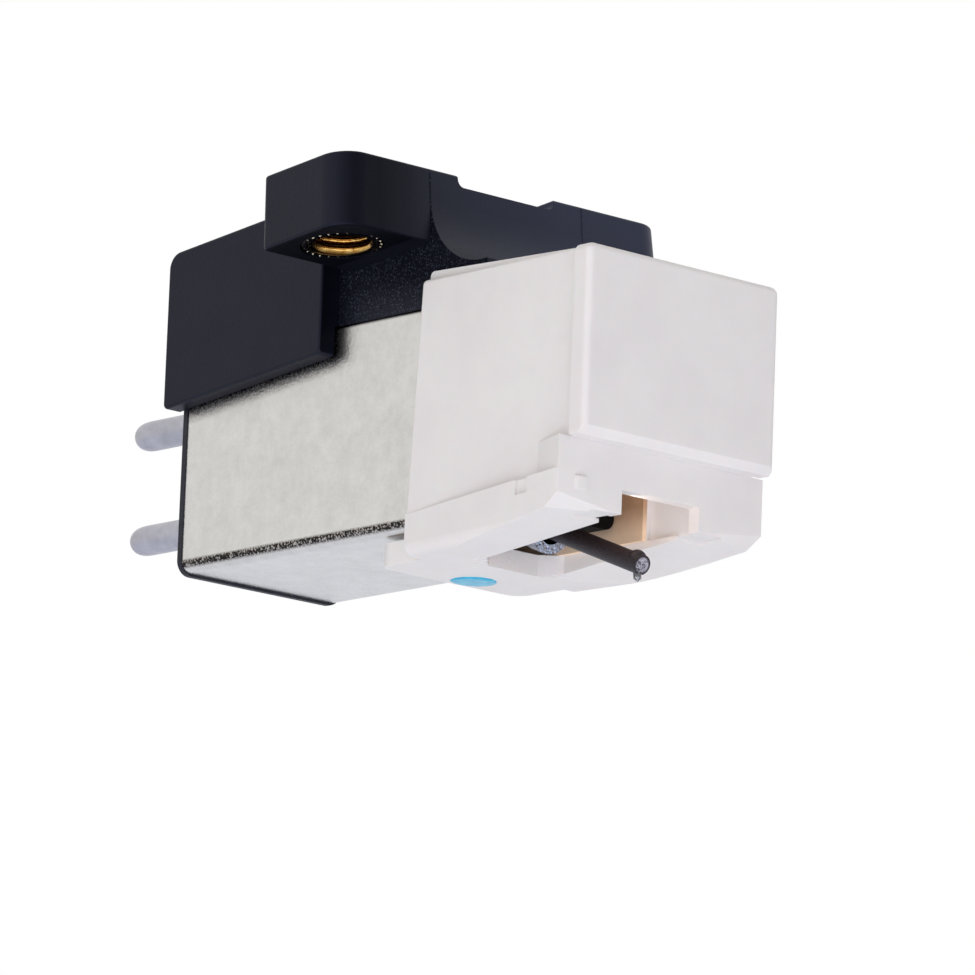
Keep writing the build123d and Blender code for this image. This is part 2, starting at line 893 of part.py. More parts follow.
with BuildPart() as rubber_damper:
    with BuildSketch(section(damper_rear)):
        with BuildLine():
            FilletPolyline(
                (-damper_side, damper_top),
                (-damper_side, damper_low),
                (damper_side, damper_low),
                (damper_side, damper_top),
                radius=damper_corner,
                close=True,
            )
        make_face()
    extrude(amount=damper_length)
    with BuildSketch(across_axis(collar_rear)):
        Circle(collar_radius)
    extrude(amount=collar_length)
    with BuildSketch(across_axis(damper_rear - damper_length)):
        Circle(swing_radius)
    extrude(amount=3 * damper_length, mode=Mode.SUBTRACT)
finish(rubber_damper, "rubber_damper")

# Suspension wire and the anchor that holds it in the rear of the sleeve
anchor_side = sleeve_inside - fit_gap
anchor_top = sleeve_ceiling - fit_gap
wire_front = yoke_rear - wire_gap

with BuildPart() as wire_anchor:
    with BuildSketch(section(sleeve_rear)):
        with BuildLine():
            FilletPolyline(
                (-anchor_side, sleeve_low),
                (-anchor_side, anchor_top),
                (anchor_side, anchor_top),
                (anchor_side, sleeve_low),
                radius=sleeve_corner,
            )
            Line((anchor_side, sleeve_low), (-anchor_side, sleeve_low))
        make_face()
    extrude(amount=anchor_length)
    with BuildSketch(across_axis(sleeve_rear - anchor_length)):
        Circle(wire_radius + fit_gap)
    extrude(amount=4 * anchor_length, mode=Mode.SUBTRACT)
finish(wire_anchor, "wire_anchor")

with BuildPart() as suspension_wire:
    with BuildSketch(across_axis(sleeve_rear)):
        Circle(wire_radius)
    extrude(amount=(wire_front - sleeve_rear) / cos(dip))
finish(suspension_wire, "suspension_wire")

# Stylus shank and its diamond, square to the record
shank_ahead = cantilever_ahead - shank_back
shank_axis = profile().from_local_coords((shank_ahead, axis_level(shank_ahead)))
shank_top = Plane(origin=shank_axis + Vector(0, 0, shank_root), x_dir=(1, 0, 0), z_dir=(0, 0, -1))
slope = lean + dip
shank_length = shank_root + cantilever_radius / cos(slope) + shank_radius * tan(slope) + shank_show

with BuildPart() as stylus_shank:
    with BuildSketch(shank_top):
        Circle(shank_radius)
    extrude(amount=shank_length)
finish(stylus_shank, "stylus_shank")

with BuildPart() as diamond_tip:
    with BuildSketch(shank_top.offset(shank_length)):
        Circle(shank_radius)
    with BuildSketch(shank_top.offset(shank_length + tip_length)):
        Circle(tip_point)
    loft()
finish(diamond_tip, "diamond_tip")

# Cantilever with the bead of resin over the shank
with BuildPart() as cantilever:
    with BuildSketch(across_axis(cantilever_tail)):
        Circle(cantilever_radius)
    extrude(amount=(cantilever_ahead - cantilever_tail) / cos(dip))
    with Locations(across_axis(cantilever_ahead - bead_back)):
        with Locations((0, bead_lift, 0)):
            Sphere(bead_radius)
    with BuildSketch(shank_top.offset(-fit_gap)):
        Circle(shank_radius + fit_gap)
    extrude(amount=shank_length, mode=Mode.SUBTRACT)
finish(cantilever, "cantilever")

# Two rod magnets set in a V, and the small yoke that joins them to the cantilever
splay = radians(magnet_splay)
magnet_half = magnet_length / 2
magnet_planes = {}
for magnet_name, magnet_sign in (("left_magnet", -1), ("right_magnet", 1)):
    middle = across_axis(magnet_ahead)
    rod_line = middle.x_dir * (magnet_sign * sin(splay)) + middle.y_dir * cos(splay)
    rod_middle = middle.from_local_coords((magnet_sign * magnet_spread / 2, magnet_lift))
    magnet_planes[magnet_name] = Plane(
        origin=rod_middle - rod_line * magnet_half, x_dir=reach, z_dir=rod_line
    )

for magnet_name, magnet_plane in magnet_planes.items():
    with BuildPart() as magnet:
        with BuildSketch(magnet_plane):
            Circle(magnet_radius)
        extrude(amount=magnet_length)
    finish(magnet, magnet_name)

with BuildPart() as magnet_yoke:
    with BuildSketch(across_axis(yoke_rear)):
        Circle(yoke_radius)
    extrude(amount=yoke_length / cos(dip))
    with BuildSketch(across_axis(cantilever_tail - fit_gap)):
        Circle(cantilever_radius + fit_gap)
    extrude(amount=yoke_length, mode=Mode.SUBTRACT)
    with BuildSketch(*[plane.offset(-fit_gap) for plane in magnet_planes.values()]):
        Circle(magnet_radius + fit_gap)
    extrude(amount=magnet_length + 2 * fit_gap, mode=Mode.SUBTRACT)
finish(magnet_yoke, "magnet_yoke")
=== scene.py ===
"""Looks of a moving-magnet turntable cartridge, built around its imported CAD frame.

The CAD nodes keep their shapes and get procedural materials. The threaded inserts, the
coil windings, the paint dot and the stylus tip are replaced by finer surfaces, each a
function of two parameters on a grid. All lengths are named in millimetres and become
metres where a mesh, a lamp or a texture takes them.
"""

import logging
import math
from dataclasses import dataclass
from enum import Enum
from typing import Any

import bmesh
import bpy
import numpy as np
from mathutils import Matrix, Vector


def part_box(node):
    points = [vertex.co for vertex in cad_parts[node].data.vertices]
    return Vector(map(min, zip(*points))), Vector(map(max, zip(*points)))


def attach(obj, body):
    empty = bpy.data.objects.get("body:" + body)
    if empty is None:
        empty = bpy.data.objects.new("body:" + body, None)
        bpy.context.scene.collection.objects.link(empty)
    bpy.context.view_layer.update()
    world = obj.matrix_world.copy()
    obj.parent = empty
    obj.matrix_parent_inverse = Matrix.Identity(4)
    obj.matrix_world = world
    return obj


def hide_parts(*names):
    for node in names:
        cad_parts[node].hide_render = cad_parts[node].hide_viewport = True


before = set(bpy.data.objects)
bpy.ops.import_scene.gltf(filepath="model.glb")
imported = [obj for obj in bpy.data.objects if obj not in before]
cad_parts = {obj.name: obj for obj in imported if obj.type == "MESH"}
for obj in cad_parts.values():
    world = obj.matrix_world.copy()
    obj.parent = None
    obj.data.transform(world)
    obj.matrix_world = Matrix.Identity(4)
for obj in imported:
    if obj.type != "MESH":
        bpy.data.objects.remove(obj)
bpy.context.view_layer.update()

# Short names of Blender's types
Tree = bpy.types.NodeTree
Node = bpy.types.Node
Socket = bpy.types.NodeSocket
Piece = bpy.types.Object

# Metres in a millimetre, and the distance in mm under which two points are one
MM = 0.001
WELD = 1e-4
# The can and the stylus lean nose down under the level mounting plane
NOSE_DOWN = math.radians(6.0)
FORWARD = np.array([0.0, -math.cos(NOSE_DOWN), -math.sin(NOSE_DOWN)])
UPWARD = np.array([0.0, -math.sin(NOSE_DOWN), math.cos(NOSE_DOWN)])
RIGHT = np.array([1.0, 0.0, 0.0])
# The cantilever's angle to the can, its pivot (ahead, level) and how far ahead it ends, mm
ROD_DIP = math.radians(21.6)
ROD_PIVOT = (5.4, -13.33)
ROD_END = 10.58
# Distance of the screw holes from the middle, mm
INSERT_SIDE = 6.35
# Widths of a belt's sharp and soft edges, and a place beyond the whole object, mm
SHARP = 0.01
SOFT = 0.1
FAR = 50.0
# Colour sockets of a Mix node: first and second colour, and the result
MIX_FIRST, MIX_SECOND, MIX_RESULT = 6, 7, 2

log = logging.getLogger("cartridge")


class Body(str, Enum):
    """CAD bodies that new pieces ride on."""

    CARTRIDGE = "body"
    STYLUS = "stylus"
    CANTILEVER = "cantilever"


class Slot(str, Enum):
    """Material slots of the record that match the new pieces."""

    BRASS = "brass"
    COPPER = "enamelled_copper"
    PAINT = "cyan_paint"
    DIAMOND = "diamond"


def linear(colour: str) -> tuple[float, float, float, float]:
    """Turn an sRGB hex colour into linear light.

    Args:
        colour: Six hex digits after a hash sign.
    Returns:
        Red, green, blue and full alpha, each from 0 to 1.
    """
    coded = np.array([int(colour[place:place + 2], 16) for place in (1, 3, 5)]) / 255.0
    low = coded / 12.92
    high = ((coded + 0.055) / 1.055) ** 2.4
    red, green, blue = np.where(coded <= 0.04045, low, high)
    return float(red), float(green), float(blue), 1.0


def add_node(
    tree: Tree, kind: str, inputs: dict[str | int, Any] | None = None, **settings: Any
) -> Node:
    """Add one node with its settings, socket values and incoming links.

    Args:
        tree: Node tree that takes the node.
        kind: Type name of the node.
        inputs: Socket name or number to its value, or to the output socket that feeds it.
        settings: Plain properties of the node, such as its operation.
    Returns:
        The new node.
    """
    node = tree.nodes.new(kind)
    for name, value in settings.items():
        setattr(node, name, value)
    for name, value in (inputs or {}).items():
        socket = node.inputs[name]
        if isinstance(value, Socket):
            tree.links.new(value, socket)
        else:
            socket.default_value = value
    return node


def per_mm(size: float) -> float:
    """Texture scale, in metres, at which one feature measures the given millimetres."""
    return 1.0 / (size * MM)


class Skin:
    """Nodes of one material, with the coordinates and patterns that finishes share.

    Attributes:
        tree: Node tree of the material.
        upright: Coordinates of the level frame, in metres.
        rearward: Rearward part of those.
        height: Upward part of those.
        place: Coordinates along the can, in metres.
        right: Part of those to the right.
        back: Rearward part of those.
        level: Upward part of those.
        side: Distance from the middle plane, in metres.
    """

    def __init__(self, tree: Tree) -> None:
        """Add the coordinates that patterns use.

        Args:
            tree: Node tree of the material.
        """
        self.tree = tree
        self.upright = add_node(tree, "ShaderNodeTexCoord").outputs["Object"]
        _, self.rearward, self.height = add_node(
            tree, "ShaderNodeSeparateXYZ", {"Vector": self.upright}
        ).outputs
        leaning = {"Vector": self.upright, "Rotation": (-NOSE_DOWN, 0.0, 0.0)}
        self.place = add_node(tree, "ShaderNodeMapping", leaning).outputs["Vector"]
        self.right, self.back, self.level = add_node(
            tree, "ShaderNodeSeparateXYZ", {"Vector": self.place}
        ).outputs
        self.side = add_node(
            tree, "ShaderNodeMath", {0: self.right}, operation="ABSOLUTE"
        ).outputs["Value"]

    def overlap(self, *shares: Socket) -> Socket:
        """Keep what belts and patterns have in common, as the product of their shares.

        Args:
            shares: Belts or patterns, each 0 to 1.
        Returns:
            Their common share, 0 to 1.
        """
        common = shares[0]
        for share in shares[1:]:
            common = add_node(
                self.tree, "ShaderNodeMath", {0: common, 1: share}, operation="MULTIPLY"
            ).outputs["Value"]
        return common

    def belt(self, value: Socket, low: float, high: float, fade: float = SHARP) -> Socket:
        """Draw a soft-edged belt: 1 between two places, falling to 0 outside them.

        Args:
            value: Place along one axis, in metres.
            low: Where the belt begins, mm.
            high: Where it ends, mm.
            fade: Width of its soft edges, mm.
        Returns:
            The belt, 0 to 1.
        """
        edges = (
            add_node(
                self.tree,
                "ShaderNodeMapRange",
                {"Value": value, "From Min": outside * MM, "From Max": inside * MM},
            ).outputs["Result"]
            for outside, inside in ((low - fade, low), (high + fade, high))
        )
        return self.overlap(*edges)

    def specks(
        self,
        size: float,
        low: float = 0.0,
        high: float = 1.0,
        place: Socket | None = None,
        detail: float = 2.0,
        crisp: float = 0.5,
        least: float = 0.0,
        most: float = 1.0,
    ) -> Socket:
        """Scatter soft specks: a noise whose rise from one level to another becomes a share.

        Args:
            size: Size of one speck, mm.
            low: Noise level that gives the least share.
            high: Noise level that gives the greatest.
            place: Coordinates of the pattern, along the can if left out.
            detail: Finer layers of the noise.
            crisp: Strength of those layers, 0 to 1.
            least: Least share.
            most: Greatest share.
        Returns:
            The share.
        """
        pattern = {"Scale": per_mm(size), "Detail": detail, "Roughness": crisp}
        noise = add_node(
            self.tree, "ShaderNodeTexNoise", {"Vector": place or self.place, **pattern}
        )
        levels = {"From Min": low, "From Max": high, "To Min": least, "To Max": most}
        return add_node(
            self.tree, "ShaderNodeMapRange", {"Value": noise.outputs["Fac"], **levels}
        ).outputs["Result"]

    def blend(self, colour: str | Socket, extra: str | Socket, *shares: Socket) -> Socket:
        """Lay a second colour over a first one, by what some shares have in common.

        Args:
            colour: First colour, sRGB hex or a socket.
            extra: Second colour, sRGB hex or a socket.
            shares: Shares of the second colour, each 0 to 1.
        Returns:
            The mixed colour.
        """
        under, over = (linear(each) if isinstance(each, str) else each for each in (colour, extra))
        return add_node(
            self.tree,
            "ShaderNodeMix",
            {0: self.overlap(*shares), MIX_FIRST: under, MIX_SECOND: over},
            data_type="RGBA",
        ).outputs[MIX_RESULT]

    def roughen(self, grain: Socket, height: float, *shares: Socket) -> Socket:
        """Add a coarser relief to a fine grain.

        Args:
            grain: Height of the fine grain, 0 to 1.
            height: Height of the coarser relief, in heights of the fine one.
            shares: Belts and pattern of the coarser relief, each 0 to 1.
        Returns:
            The height of both.
        """
        return add_node(
            self.tree,
            "ShaderNodeMath",
            {0: self.overlap(*shares), 1: height, 2: grain},
            operation="MULTIPLY_ADD",
        ).outputs["Value"]

    def along_rod(self) -> tuple[Socket, Socket, Socket]:
        """Turn places along the can into places along the cantilever.

        Returns:
            Coordinates from the pivot (right, rearward along the rod, and square to it),
            the second of them alone, and the distance from the rod's axis.
        """
        ahead, level = ROD_PIVOT
        place = self.place
        for move in (
            {"Location": (0.0, ahead * MM, -level * MM)},
            {"Rotation": (-ROD_DIP, 0.0, 0.0)},
        ):
            place = add_node(
                self.tree, "ShaderNodeMapping", {"Vector": place, **move}
            ).outputs["Vector"]
        _, along, _ = add_node(self.tree, "ShaderNodeSeparateXYZ", {"Vector": place}).outputs
        return place, along, self.distance(place, {"Scale": (1.0, 0.0, 1.0)})

    def distance(self, place: Socket, move: dict[str, tuple[float, float, float]]) -> Socket:
        """Measure how far places are from an axis.

        Args:
            place: Coordinates, in metres.
            move: Settings of a mapping that brings the axis to the middle and flattens along it.
        Returns:
            The distance, in metres.
        """
        flat = add_node(self.tree, "ShaderNodeMapping", {"Vector": place, **move})
        return add_node(
            self.tree, "ShaderNodeVectorMath", {0: flat.outputs["Vector"]}, operation="LENGTH"
        ).outputs["Value"]


@dataclass(frozen=True)
class Finish:
    """A material: a mottled base colour, an uneven sheen and a fine surface relief.

    Attributes:
        name: Common name of the real material and how its surface was made.
        colour: Main colour, sRGB hex.
        fleck: Colour that the mottling leans to, sRGB hex.
        fleck_size: Size of one patch of the mottling, mm.
        roughness: Lowest and highest roughness.
        grain_size: Size of one grain of the relief, mm.
        grain_height: Height of that relief, mm.
        stretch: How far the grain is drawn out along the can, 1 for round grain.
        metallic: Share of bare metal, 0 for anything that isn't metal.
        fleck_crisp: How much fine detail the mottling has, 0 to 1.
        gloss: Strength of the surface reflection, 0.5 for a plain skin.
    """

    name: str
    colour: str
    fleck: str
    fleck_size: float
    roughness: tuple[float, float]
    grain_size: float
    grain_height: float
    stretch: float = 1.0
    metallic: float = 0.0
    fleck_crisp: float = 0.6
    gloss: float = 0.5

    def build(self) -> bpy.types.Material:
        """Make the material with its nodes.

        Returns:
            The finished material.
        """
        material = bpy.data.materials.new(self.name)
        material.use_nodes = True
        tree = material.node_tree
        tree.nodes.clear()
        output = add_node(tree, "ShaderNodeOutputMaterial")
        surface = add_node(
            tree,
            "ShaderNodeBsdfPrincipled",
            {"Metallic": self.metallic, "Specular IOR Level": self.gloss},
        )
        tree.links.new(surface.outputs["BSDF"], output.inputs["Surface"])
        skin = Skin(tree)
        relief = self.relief(skin)
        bump = add_node(
            tree, "ShaderNodeBump", {"Height": relief, "Distance": self.grain_height * MM}
        )
        sheen = add_node(
            tree,
            "ShaderNodeMapRange",
            {"Value": relief, "To Min": self.roughness[0], "To Max": self.roughness[1]},
        )
        tree.links.new(self.mottle(skin), surface.inputs["Base Color"])
        tree.links.new(sheen.outputs["Result"], surface.inputs["Roughness"])
        tree.links.new(bump.outputs["Normal"], surface.inputs["Normal"])
        self.refine(skin, surface)
        log.info("finish %s", self.name)
        return material

    def mottle(self, skin: Skin) -> Socket:
        """Mix the main and the fleck colour over soft patches.

        Args:
            skin: Nodes of the material.
        Returns:
            The mixed colour.
        """
        patches = skin.specks(self.fleck_size, 0.35, 0.7, detail=4.0, crisp=self.fleck_crisp)
        return skin.blend(self.colour, self.fleck, patches)

    def relief(self, skin: Skin) -> Socket:
        """Draw the height of the fine grain, 0 to 1.

        Args:
            skin: Nodes of the material.
        Returns:
            The height.
        """
        drawn = add_node(
            skin.tree,
            "ShaderNodeMapping",
            {"Vector": skin.place, "Scale": (1.0, 1.0 / self.stretch, 1.0)},
        ).outputs["Vector"]
        return skin.specks(self.grain_size, place=drawn, crisp=0.55)

    def refine(self, skin: Skin, surface: Node) -> None:
        """Add what only this material has; plain finishes add nothing.

        Args:
            skin: Nodes of the material.
            surface: Its main shader.
        """


@dataclass(frozen=True)
class MouldedBlack(Finish):
    """Blue-black nylon from a spark-eroded tool, with dust on the neck's grainy sides. Light is
    painted on its right-hand half, and shade is painted by a dimmed gloss in its recesses and on
    the left ear's front face.

    Attributes:
        dust: Colour of the dust, sRGB hex.
        dust_size: Size of one speck, mm, drawn coarser than real dust so that it shows.
        dust_level: Noise levels where a speck begins and is full.
        dust_share: Share of the dust in a full speck.
        neck_side: Lowest and highest distance from the middle where dust lies, and where the neck's
            painted shade lies, mm.
        painted_light_right: Colour of the painted light on the right-hand half, sRGB hex.
        painted_light_side: Where that painted light begins and is full, to the right of the middle,
            mm.
        cast: Colour that the gloss takes on, sRGB hex.
        painted_shade_level: Lowest and highest level of the ears' undersides, where the gloss is
            dimmed as painted shade, mm.
        painted_shade_side: Where those undersides begin and end, from the middle, mm.
        painted_shade_ahead: Where the skirts' front faces lie, also dimmed as painted shade, ahead
            of the screw holes, mm.
        painted_shade_neck: Level above which the neck's sides are also dimmed as painted shade, mm.
        painted_shade_fade: Height over which they turn dim, mm.
        painted_shade_gloss: Share of the gloss that the faces with painted shade keep.
        painted_ear_shade_side: Where the left ear's front face has its gloss dimmed as painted
            shade, mm.
        painted_ear_shade_ahead: Where that face lies, ahead of the screw holes, mm.
        painted_ear_shade_fade: Widths over which it turns dull, across and along, mm.
        painted_ear_shade_gloss: Share of the gloss that it keeps.
    """

    dust: str = "#434755"
    dust_size: float = 0.07
    dust_level: tuple[float, float] = (0.56, 0.68)
    dust_share: float = 0.8
    neck_side: tuple[float, float] = (3.86, 3.94)
    painted_light_right: str = "#2B2F3F"
    painted_light_side: tuple[float, float] = (-5.0, 3.0)
    cast: str = "#CED4FF"
    painted_shade_level: tuple[float, float] = (-2.99, -2.95)
    painted_shade_side: tuple[float, float] = (4.9, 9.0)
    painted_shade_ahead: tuple[float, float] = (-2.54, -2.5)
    painted_shade_neck: float = -3.9
    painted_shade_fade: float = 1.6
    painted_shade_gloss: float = 0.15
    painted_ear_shade_side: tuple[float, float] = (-9.0, -6.4)
    painted_ear_shade_ahead: float = 2.2
    painted_ear_shade_fade: tuple[float, float] = (2.6, 0.5)
    painted_ear_shade_gloss: float = 0.4

    def mottle(self, skin: Skin) -> Socket:
        """Paint light over the right half of the black, and lay dust on the neck's sides.

        Args:
            skin: Nodes of the material.
        Returns:
            The colour with its painted light and dust.
        """
        # Painted light: the right-hand half turns a lighter blue-black.
        first, full = self.painted_light_side
        painted_light_share = skin.belt(skin.right, full, FAR, full - first)
        black = skin.blend(super().mottle(skin), self.painted_light_right, painted_light_share)
        dust = skin.specks(self.dust_size, *self.dust_level, most=self.dust_share)
        return skin.blend(black, self.dust, dust, skin.belt(skin.side, *self.neck_side))

    def refine(self, skin: Skin, surface: Node) -> None:
        """Set the gloss of the moulded skin, bluish, and dim it as painted shade in the recesses
        and on the left ear's front face.

        Args:
            skin: Nodes of the material.
            surface: Its main shader.
        """
        surface.inputs["Specular Tint"].default_value = linear(self.cast)
        # Painted shade: the gloss is dimmed on the ears' undersides, the skirts' front faces and
        # the neck's upper sides.
        rear, front = self.painted_shade_ahead
        painted_shade = skin.overlap(
            skin.belt(skin.height, *self.painted_shade_level),
            skin.belt(skin.back, -FAR, -rear),
            skin.belt(skin.side, *self.painted_shade_side, SOFT),
        )
        # Painted shade on the neck's upper sides, under the ears.
        neck = skin.overlap(
            skin.belt(skin.side, *self.neck_side),
            skin.belt(skin.level, self.painted_shade_neck, 0.0, self.painted_shade_fade),
        )
        for zone in (neck, skin.belt(skin.back, -front, -rear)):
            painted_shade = add_node(
                skin.tree, "ShaderNodeMath", {0: painted_shade, 1: zone}, operation="MAXIMUM"
            ).outputs["Value"]
        # Painted shade: the left ear's front face keeps less of its gloss.
        across, along = self.painted_ear_shade_fade
        painted_ear_shade = skin.overlap(
            skin.belt(skin.right, *self.painted_ear_shade_side, across),
            skin.belt(skin.rearward, -FAR, -self.painted_ear_shade_ahead, along),
        )
        gloss = self.gloss
        for zone, kept in ((painted_ear_shade, self.painted_ear_shade_gloss), (painted_shade, self.painted_shade_gloss)):
            gloss = add_node(
                skin.tree,
                "ShaderNodeMapRange",
                {"Value": zone, "To Min": gloss, "To Max": self.gloss * kept},
            ).outputs["Result"]
        skin.tree.links.new(gloss, surface.inputs["Specular IOR Level"])


@dataclass(frozen=True)
class FoldedSheet(Finish):
    """Nickel-plated steel sheet: satin, grainy, its plating crazed dark along the folds, with
    painted shade under the bracket's skirts and along the rolled top edge.

    Attributes:
        craze: Colour of the bared steel in the fold, sRGB hex.
        glint: Colour of the plating between the cracks, sRGB hex.
        craze_level: Levels of the crazed band's lower and upper edge, mm.
        craze_size: Size of one crack, mm.
        painted_edge_shade: Colour of the painted shade along the rolled top edge, under the
            bracket's neck, sRGB hex.
        painted_edge_shade_low: Level where that edge begins, mm.
        painted_skirt_shade: Colour of the painted shadow and dark reflection of the bracket's
            skirts, sRGB hex.
        painted_skirt_shade_level: Level of the skirts' lower edges under the mounting plane, mm.
        painted_skirt_shade_ahead: Where the skirts end, ahead of the screw holes, mm.
        painted_skirt_shade_reach: How far that painted shade spreads from them, mm.
        painted_skirt_shade_least: Share of the painted shade between its specks.
    """

    craze: str = "#25211F"
    glint: str = "#A9A39D"
    craze_level: tuple[float, float] = (-13.46, -13.27)
    craze_size: float = 0.09
    painted_edge_shade: str = "#19171B"
    painted_edge_shade_low: float = -5.3
    painted_skirt_shade: str = "#3A3638"
    painted_skirt_shade_level: float = -6.15
    painted_skirt_shade_ahead: float = -2.45
    painted_skirt_shade_reach: float = 0.6
    painted_skirt_shade_least: float = 0.45

    def mottle(self, skin: Skin) -> Socket:
        """Craze the plating along the lower folds, and paint shade along the top edge and under the
        skirts.

        Args:
            skin: Nodes of the material.
        Returns:
            The colour with its crazed folds and its painted shade.
        """
        # Painted shade: the skirts' shadow and dark reflection on the can below them, grainy and
        # fading downwards.
        skirt_shaded_colour = skin.blend(
            super().mottle(skin),
            self.painted_skirt_shade,
            skin.belt(skin.height, self.painted_skirt_shade_level, 0.0, self.painted_skirt_shade_reach),
            skin.belt(skin.back, -self.painted_skirt_shade_ahead, FAR, self.painted_skirt_shade_reach),
            skin.specks(self.craze_size, 0.66, 0.42, detail=1.0, least=self.painted_skirt_shade_least),
        )
        cracks = skin.specks(self.craze_size, 0.64, 0.48, detail=1.0)
        steel = skin.blend(self.glint, self.craze, cracks)
        crazed = skin.blend(skirt_shaded_colour, steel, skin.belt(skin.level, *self.craze_level, SOFT))
        # Painted shade: the rolled top edge darkened under the bracket's neck.
        return skin.blend(crazed, self.painted_edge_shade, skin.belt(skin.level, self.painted_edge_shade_low, 0.0, SOFT))


@dataclass(frozen=True)
class WhiteMoulding(Finish):
    """White polystyrene: a smooth moulded skin that lets a little light in.

    The rear wall of the channel under the cantilever was left grainy by the tool.

    Attributes:
        depth: How far light travels under the skin, mm.
        share: Share of the light that goes in.
        warmth: Reach of red, green and blue light under the skin.
        wall_ahead: Where the grainy wall begins and ends, ahead of the screw holes, mm.
        wall_side: Half width of that wall, mm.
        wall_grain: Size of its grain, mm.
        wall_height: Height of its grain, in heights of the plain skin's grain.
    """

    depth: float = 0.4
    share: float = 0.25
    warmth: tuple[float, float, float] = (1.0, 0.62, 0.45)
    wall_ahead: tuple[float, float] = (3.4, 4.19)
    wall_side: float = 1.94
    wall_grain: float = 0.09
    wall_height: float = 12.0

    def relief(self, skin: Skin) -> Socket:
        """Add the channel wall's coarse grain to the skin's fine one.

        Args:
            skin: Nodes of the material.
        Returns:
            The height.
        """
        first, last = self.wall_ahead
        return skin.roughen(
            super().relief(skin),
            self.wall_height,
            skin.belt(skin.back, -last, -first),
            skin.belt(skin.right, -self.wall_side, self.wall_side),
            skin.specks(self.wall_grain),
        )

    def refine(self, skin: Skin, surface: Node) -> None:
        """Set the soft scattering under the skin.

        Args:
            skin: Nodes of the material.
            surface: Its main shader.
        """
        surface.inputs["Subsurface Weight"].default_value = self.share
        surface.inputs["Subsurface Scale"].default_value = self.depth * MM
        surface.inputs["Subsurface Radius"].default_value = self.warmth


@dataclass(frozen=True)
class PlatedTube(Finish):
    """Drawn tube, with light painted on towards its lower rim.

    Attributes:
        painted_rim_light: Colour of the painted light towards the lower rim, sRGB hex.
        painted_rim_light_level: Level under which the painted light is full, mm.
        painted_rim_light_fade: Height over which it fades out upwards, mm.
    """

    painted_rim_light: str = "#FFE3C4"
    painted_rim_light_level: float = -13.6
    painted_rim_light_fade: float = 1.0

    def mottle(self, skin: Skin) -> Socket:
        """Paint light onto the tube towards its lower rim."""
        # Painted light: paler towards the lower rim.
        low = skin.belt(skin.level, -FAR, self.painted_rim_light_level, self.painted_rim_light_fade)
        return skin.blend(super().mottle(skin), self.painted_rim_light, low)


@dataclass(frozen=True)
class CoatedWire(Finish):
    """Metal wire under a clear, wet-looking enamel.

    Attributes:
        coat: Strength of the clear gloss.
        coat_roughness: Roughness of the enamel.
    """

    coat: float = 0.6
    coat_roughness: float = 0.08

    def refine(self, skin: Skin, surface: Node) -> None:
        """Set the clear coat."""
        surface.inputs["Coat Weight"].default_value = self.coat
        surface.inputs["Coat Roughness"].default_value = self.coat_roughness


@dataclass(frozen=True)
class ClearGem(Finish):
    """Polished diamond: clear, with a high index of refraction.

    Attributes:
        index: Index of refraction.
    """

    index: float = 2.42

    def refine(self, skin: Skin, surface: Node) -> None:
        """Let light through and bend it."""
        surface.inputs["Transmission Weight"].default_value = 1.0
        surface.inputs["IOR"].default_value = self.index


@dataclass(frozen=True)
class ThreadedBrass(Finish):
    """Turned brass, darker in its thread roots and in a ring at its end faces, with painted glints
    on the knurl's tips.

    Attributes:
        dark_brass: Colour of the darker brass, sRGB hex.
        dark_width: Width of the dark band in a root, and of the soft edge of the dark ring, mm.
        crest: Radius of the thread's crests, mm.
        root: Radius of its roots, mm.
        rim: Inner and outer radius of the dark ring at the end faces, mm.
        bright: Colour of the painted glints on the knurl's tips, sRGB hex.
        tip_level: Level under which the tips stand out of the end face, mm.
    """

    dark_brass: str = "#2A1A0A"
    dark_width: float = 0.02
    crest: float = 1.07
    root: float = 1.24
    rim: tuple[float, float] = (1.33, 1.6)
    bright: str = "#FFF3D6"
    tip_level: float = -2.925

    def mottle(self, skin: Skin) -> Socket:
        """Darken the brass by its distance from the screw's axis.

        Args:
            skin: Nodes of the material.
        Returns:
            The colour, darker in the roots and the ring, with painted glints on the tips.
        """
        folded = add_node(
            skin.tree, "ShaderNodeVectorMath", {0: skin.upright}, operation="ABSOLUTE"
        ).outputs["Vector"]
        to_axis = {"Location": (-INSERT_SIDE * MM, 0.0, 0.0), "Scale": (1.0, 1.0, 0.0)}
        radius = skin.distance(folded, to_axis)
        # Darker brass in the thread roots and in a ring at the end faces.
        deep = skin.belt(radius, self.root, self.root + self.dark_width, self.root - self.crest)
        ring = skin.belt(radius, *self.rim, self.dark_width)
        # Painted glints: near-white knurl tips that stand out under the end face.
        painted_glint_tips = skin.belt(skin.height, -FAR, self.tip_level)
        darkened_brass = skin.blend(super().mottle(skin), self.dark_brass, deep)
        return skin.blend(skin.blend(darkened_brass, self.dark_brass, ring), self.bright, ring, painted_glint_tips)


@dataclass(frozen=True)
class CutRod(Finish):
    """Pultruded carbon composite, pale and granular where the rod was cut off.

    Attributes:
        cut: Colour of the cut fibre ends, sRGB hex.
        fibre_size: Size of one bundle of fibre ends, mm.
        cut_depth: How far back from the end the cut shows, mm.
        cut_radius: Radius of the pale middle, inside the dark skin, mm.
        cut_fade: Width over which the pale middle turns dark, mm.
    """

    cut: str = "#B4B0BC"
    fibre_size: float = 0.07
    cut_depth: float = 0.03
    cut_radius: float = 0.26
    cut_fade: float = 0.06

    def mottle(self, skin: Skin) -> Socket:
        """Lay pale specks over the rod's end.

        Args:
            skin: Nodes of the material.
        Returns:
            The colour with its cut end.
        """
        rod, along, radius = skin.along_rod()
        end = (ROD_END - ROD_PIVOT[0]) / math.cos(ROD_DIP)
        return skin.blend(
            super().mottle(skin),
            self.cut,
            skin.specks(self.fibre_size, 0.35, 0.6, place=rod),
            skin.belt(along, -FAR, self.cut_depth - end),
            skin.belt(radius, 0.0, self.cut_radius, self.cut_fade),
        )


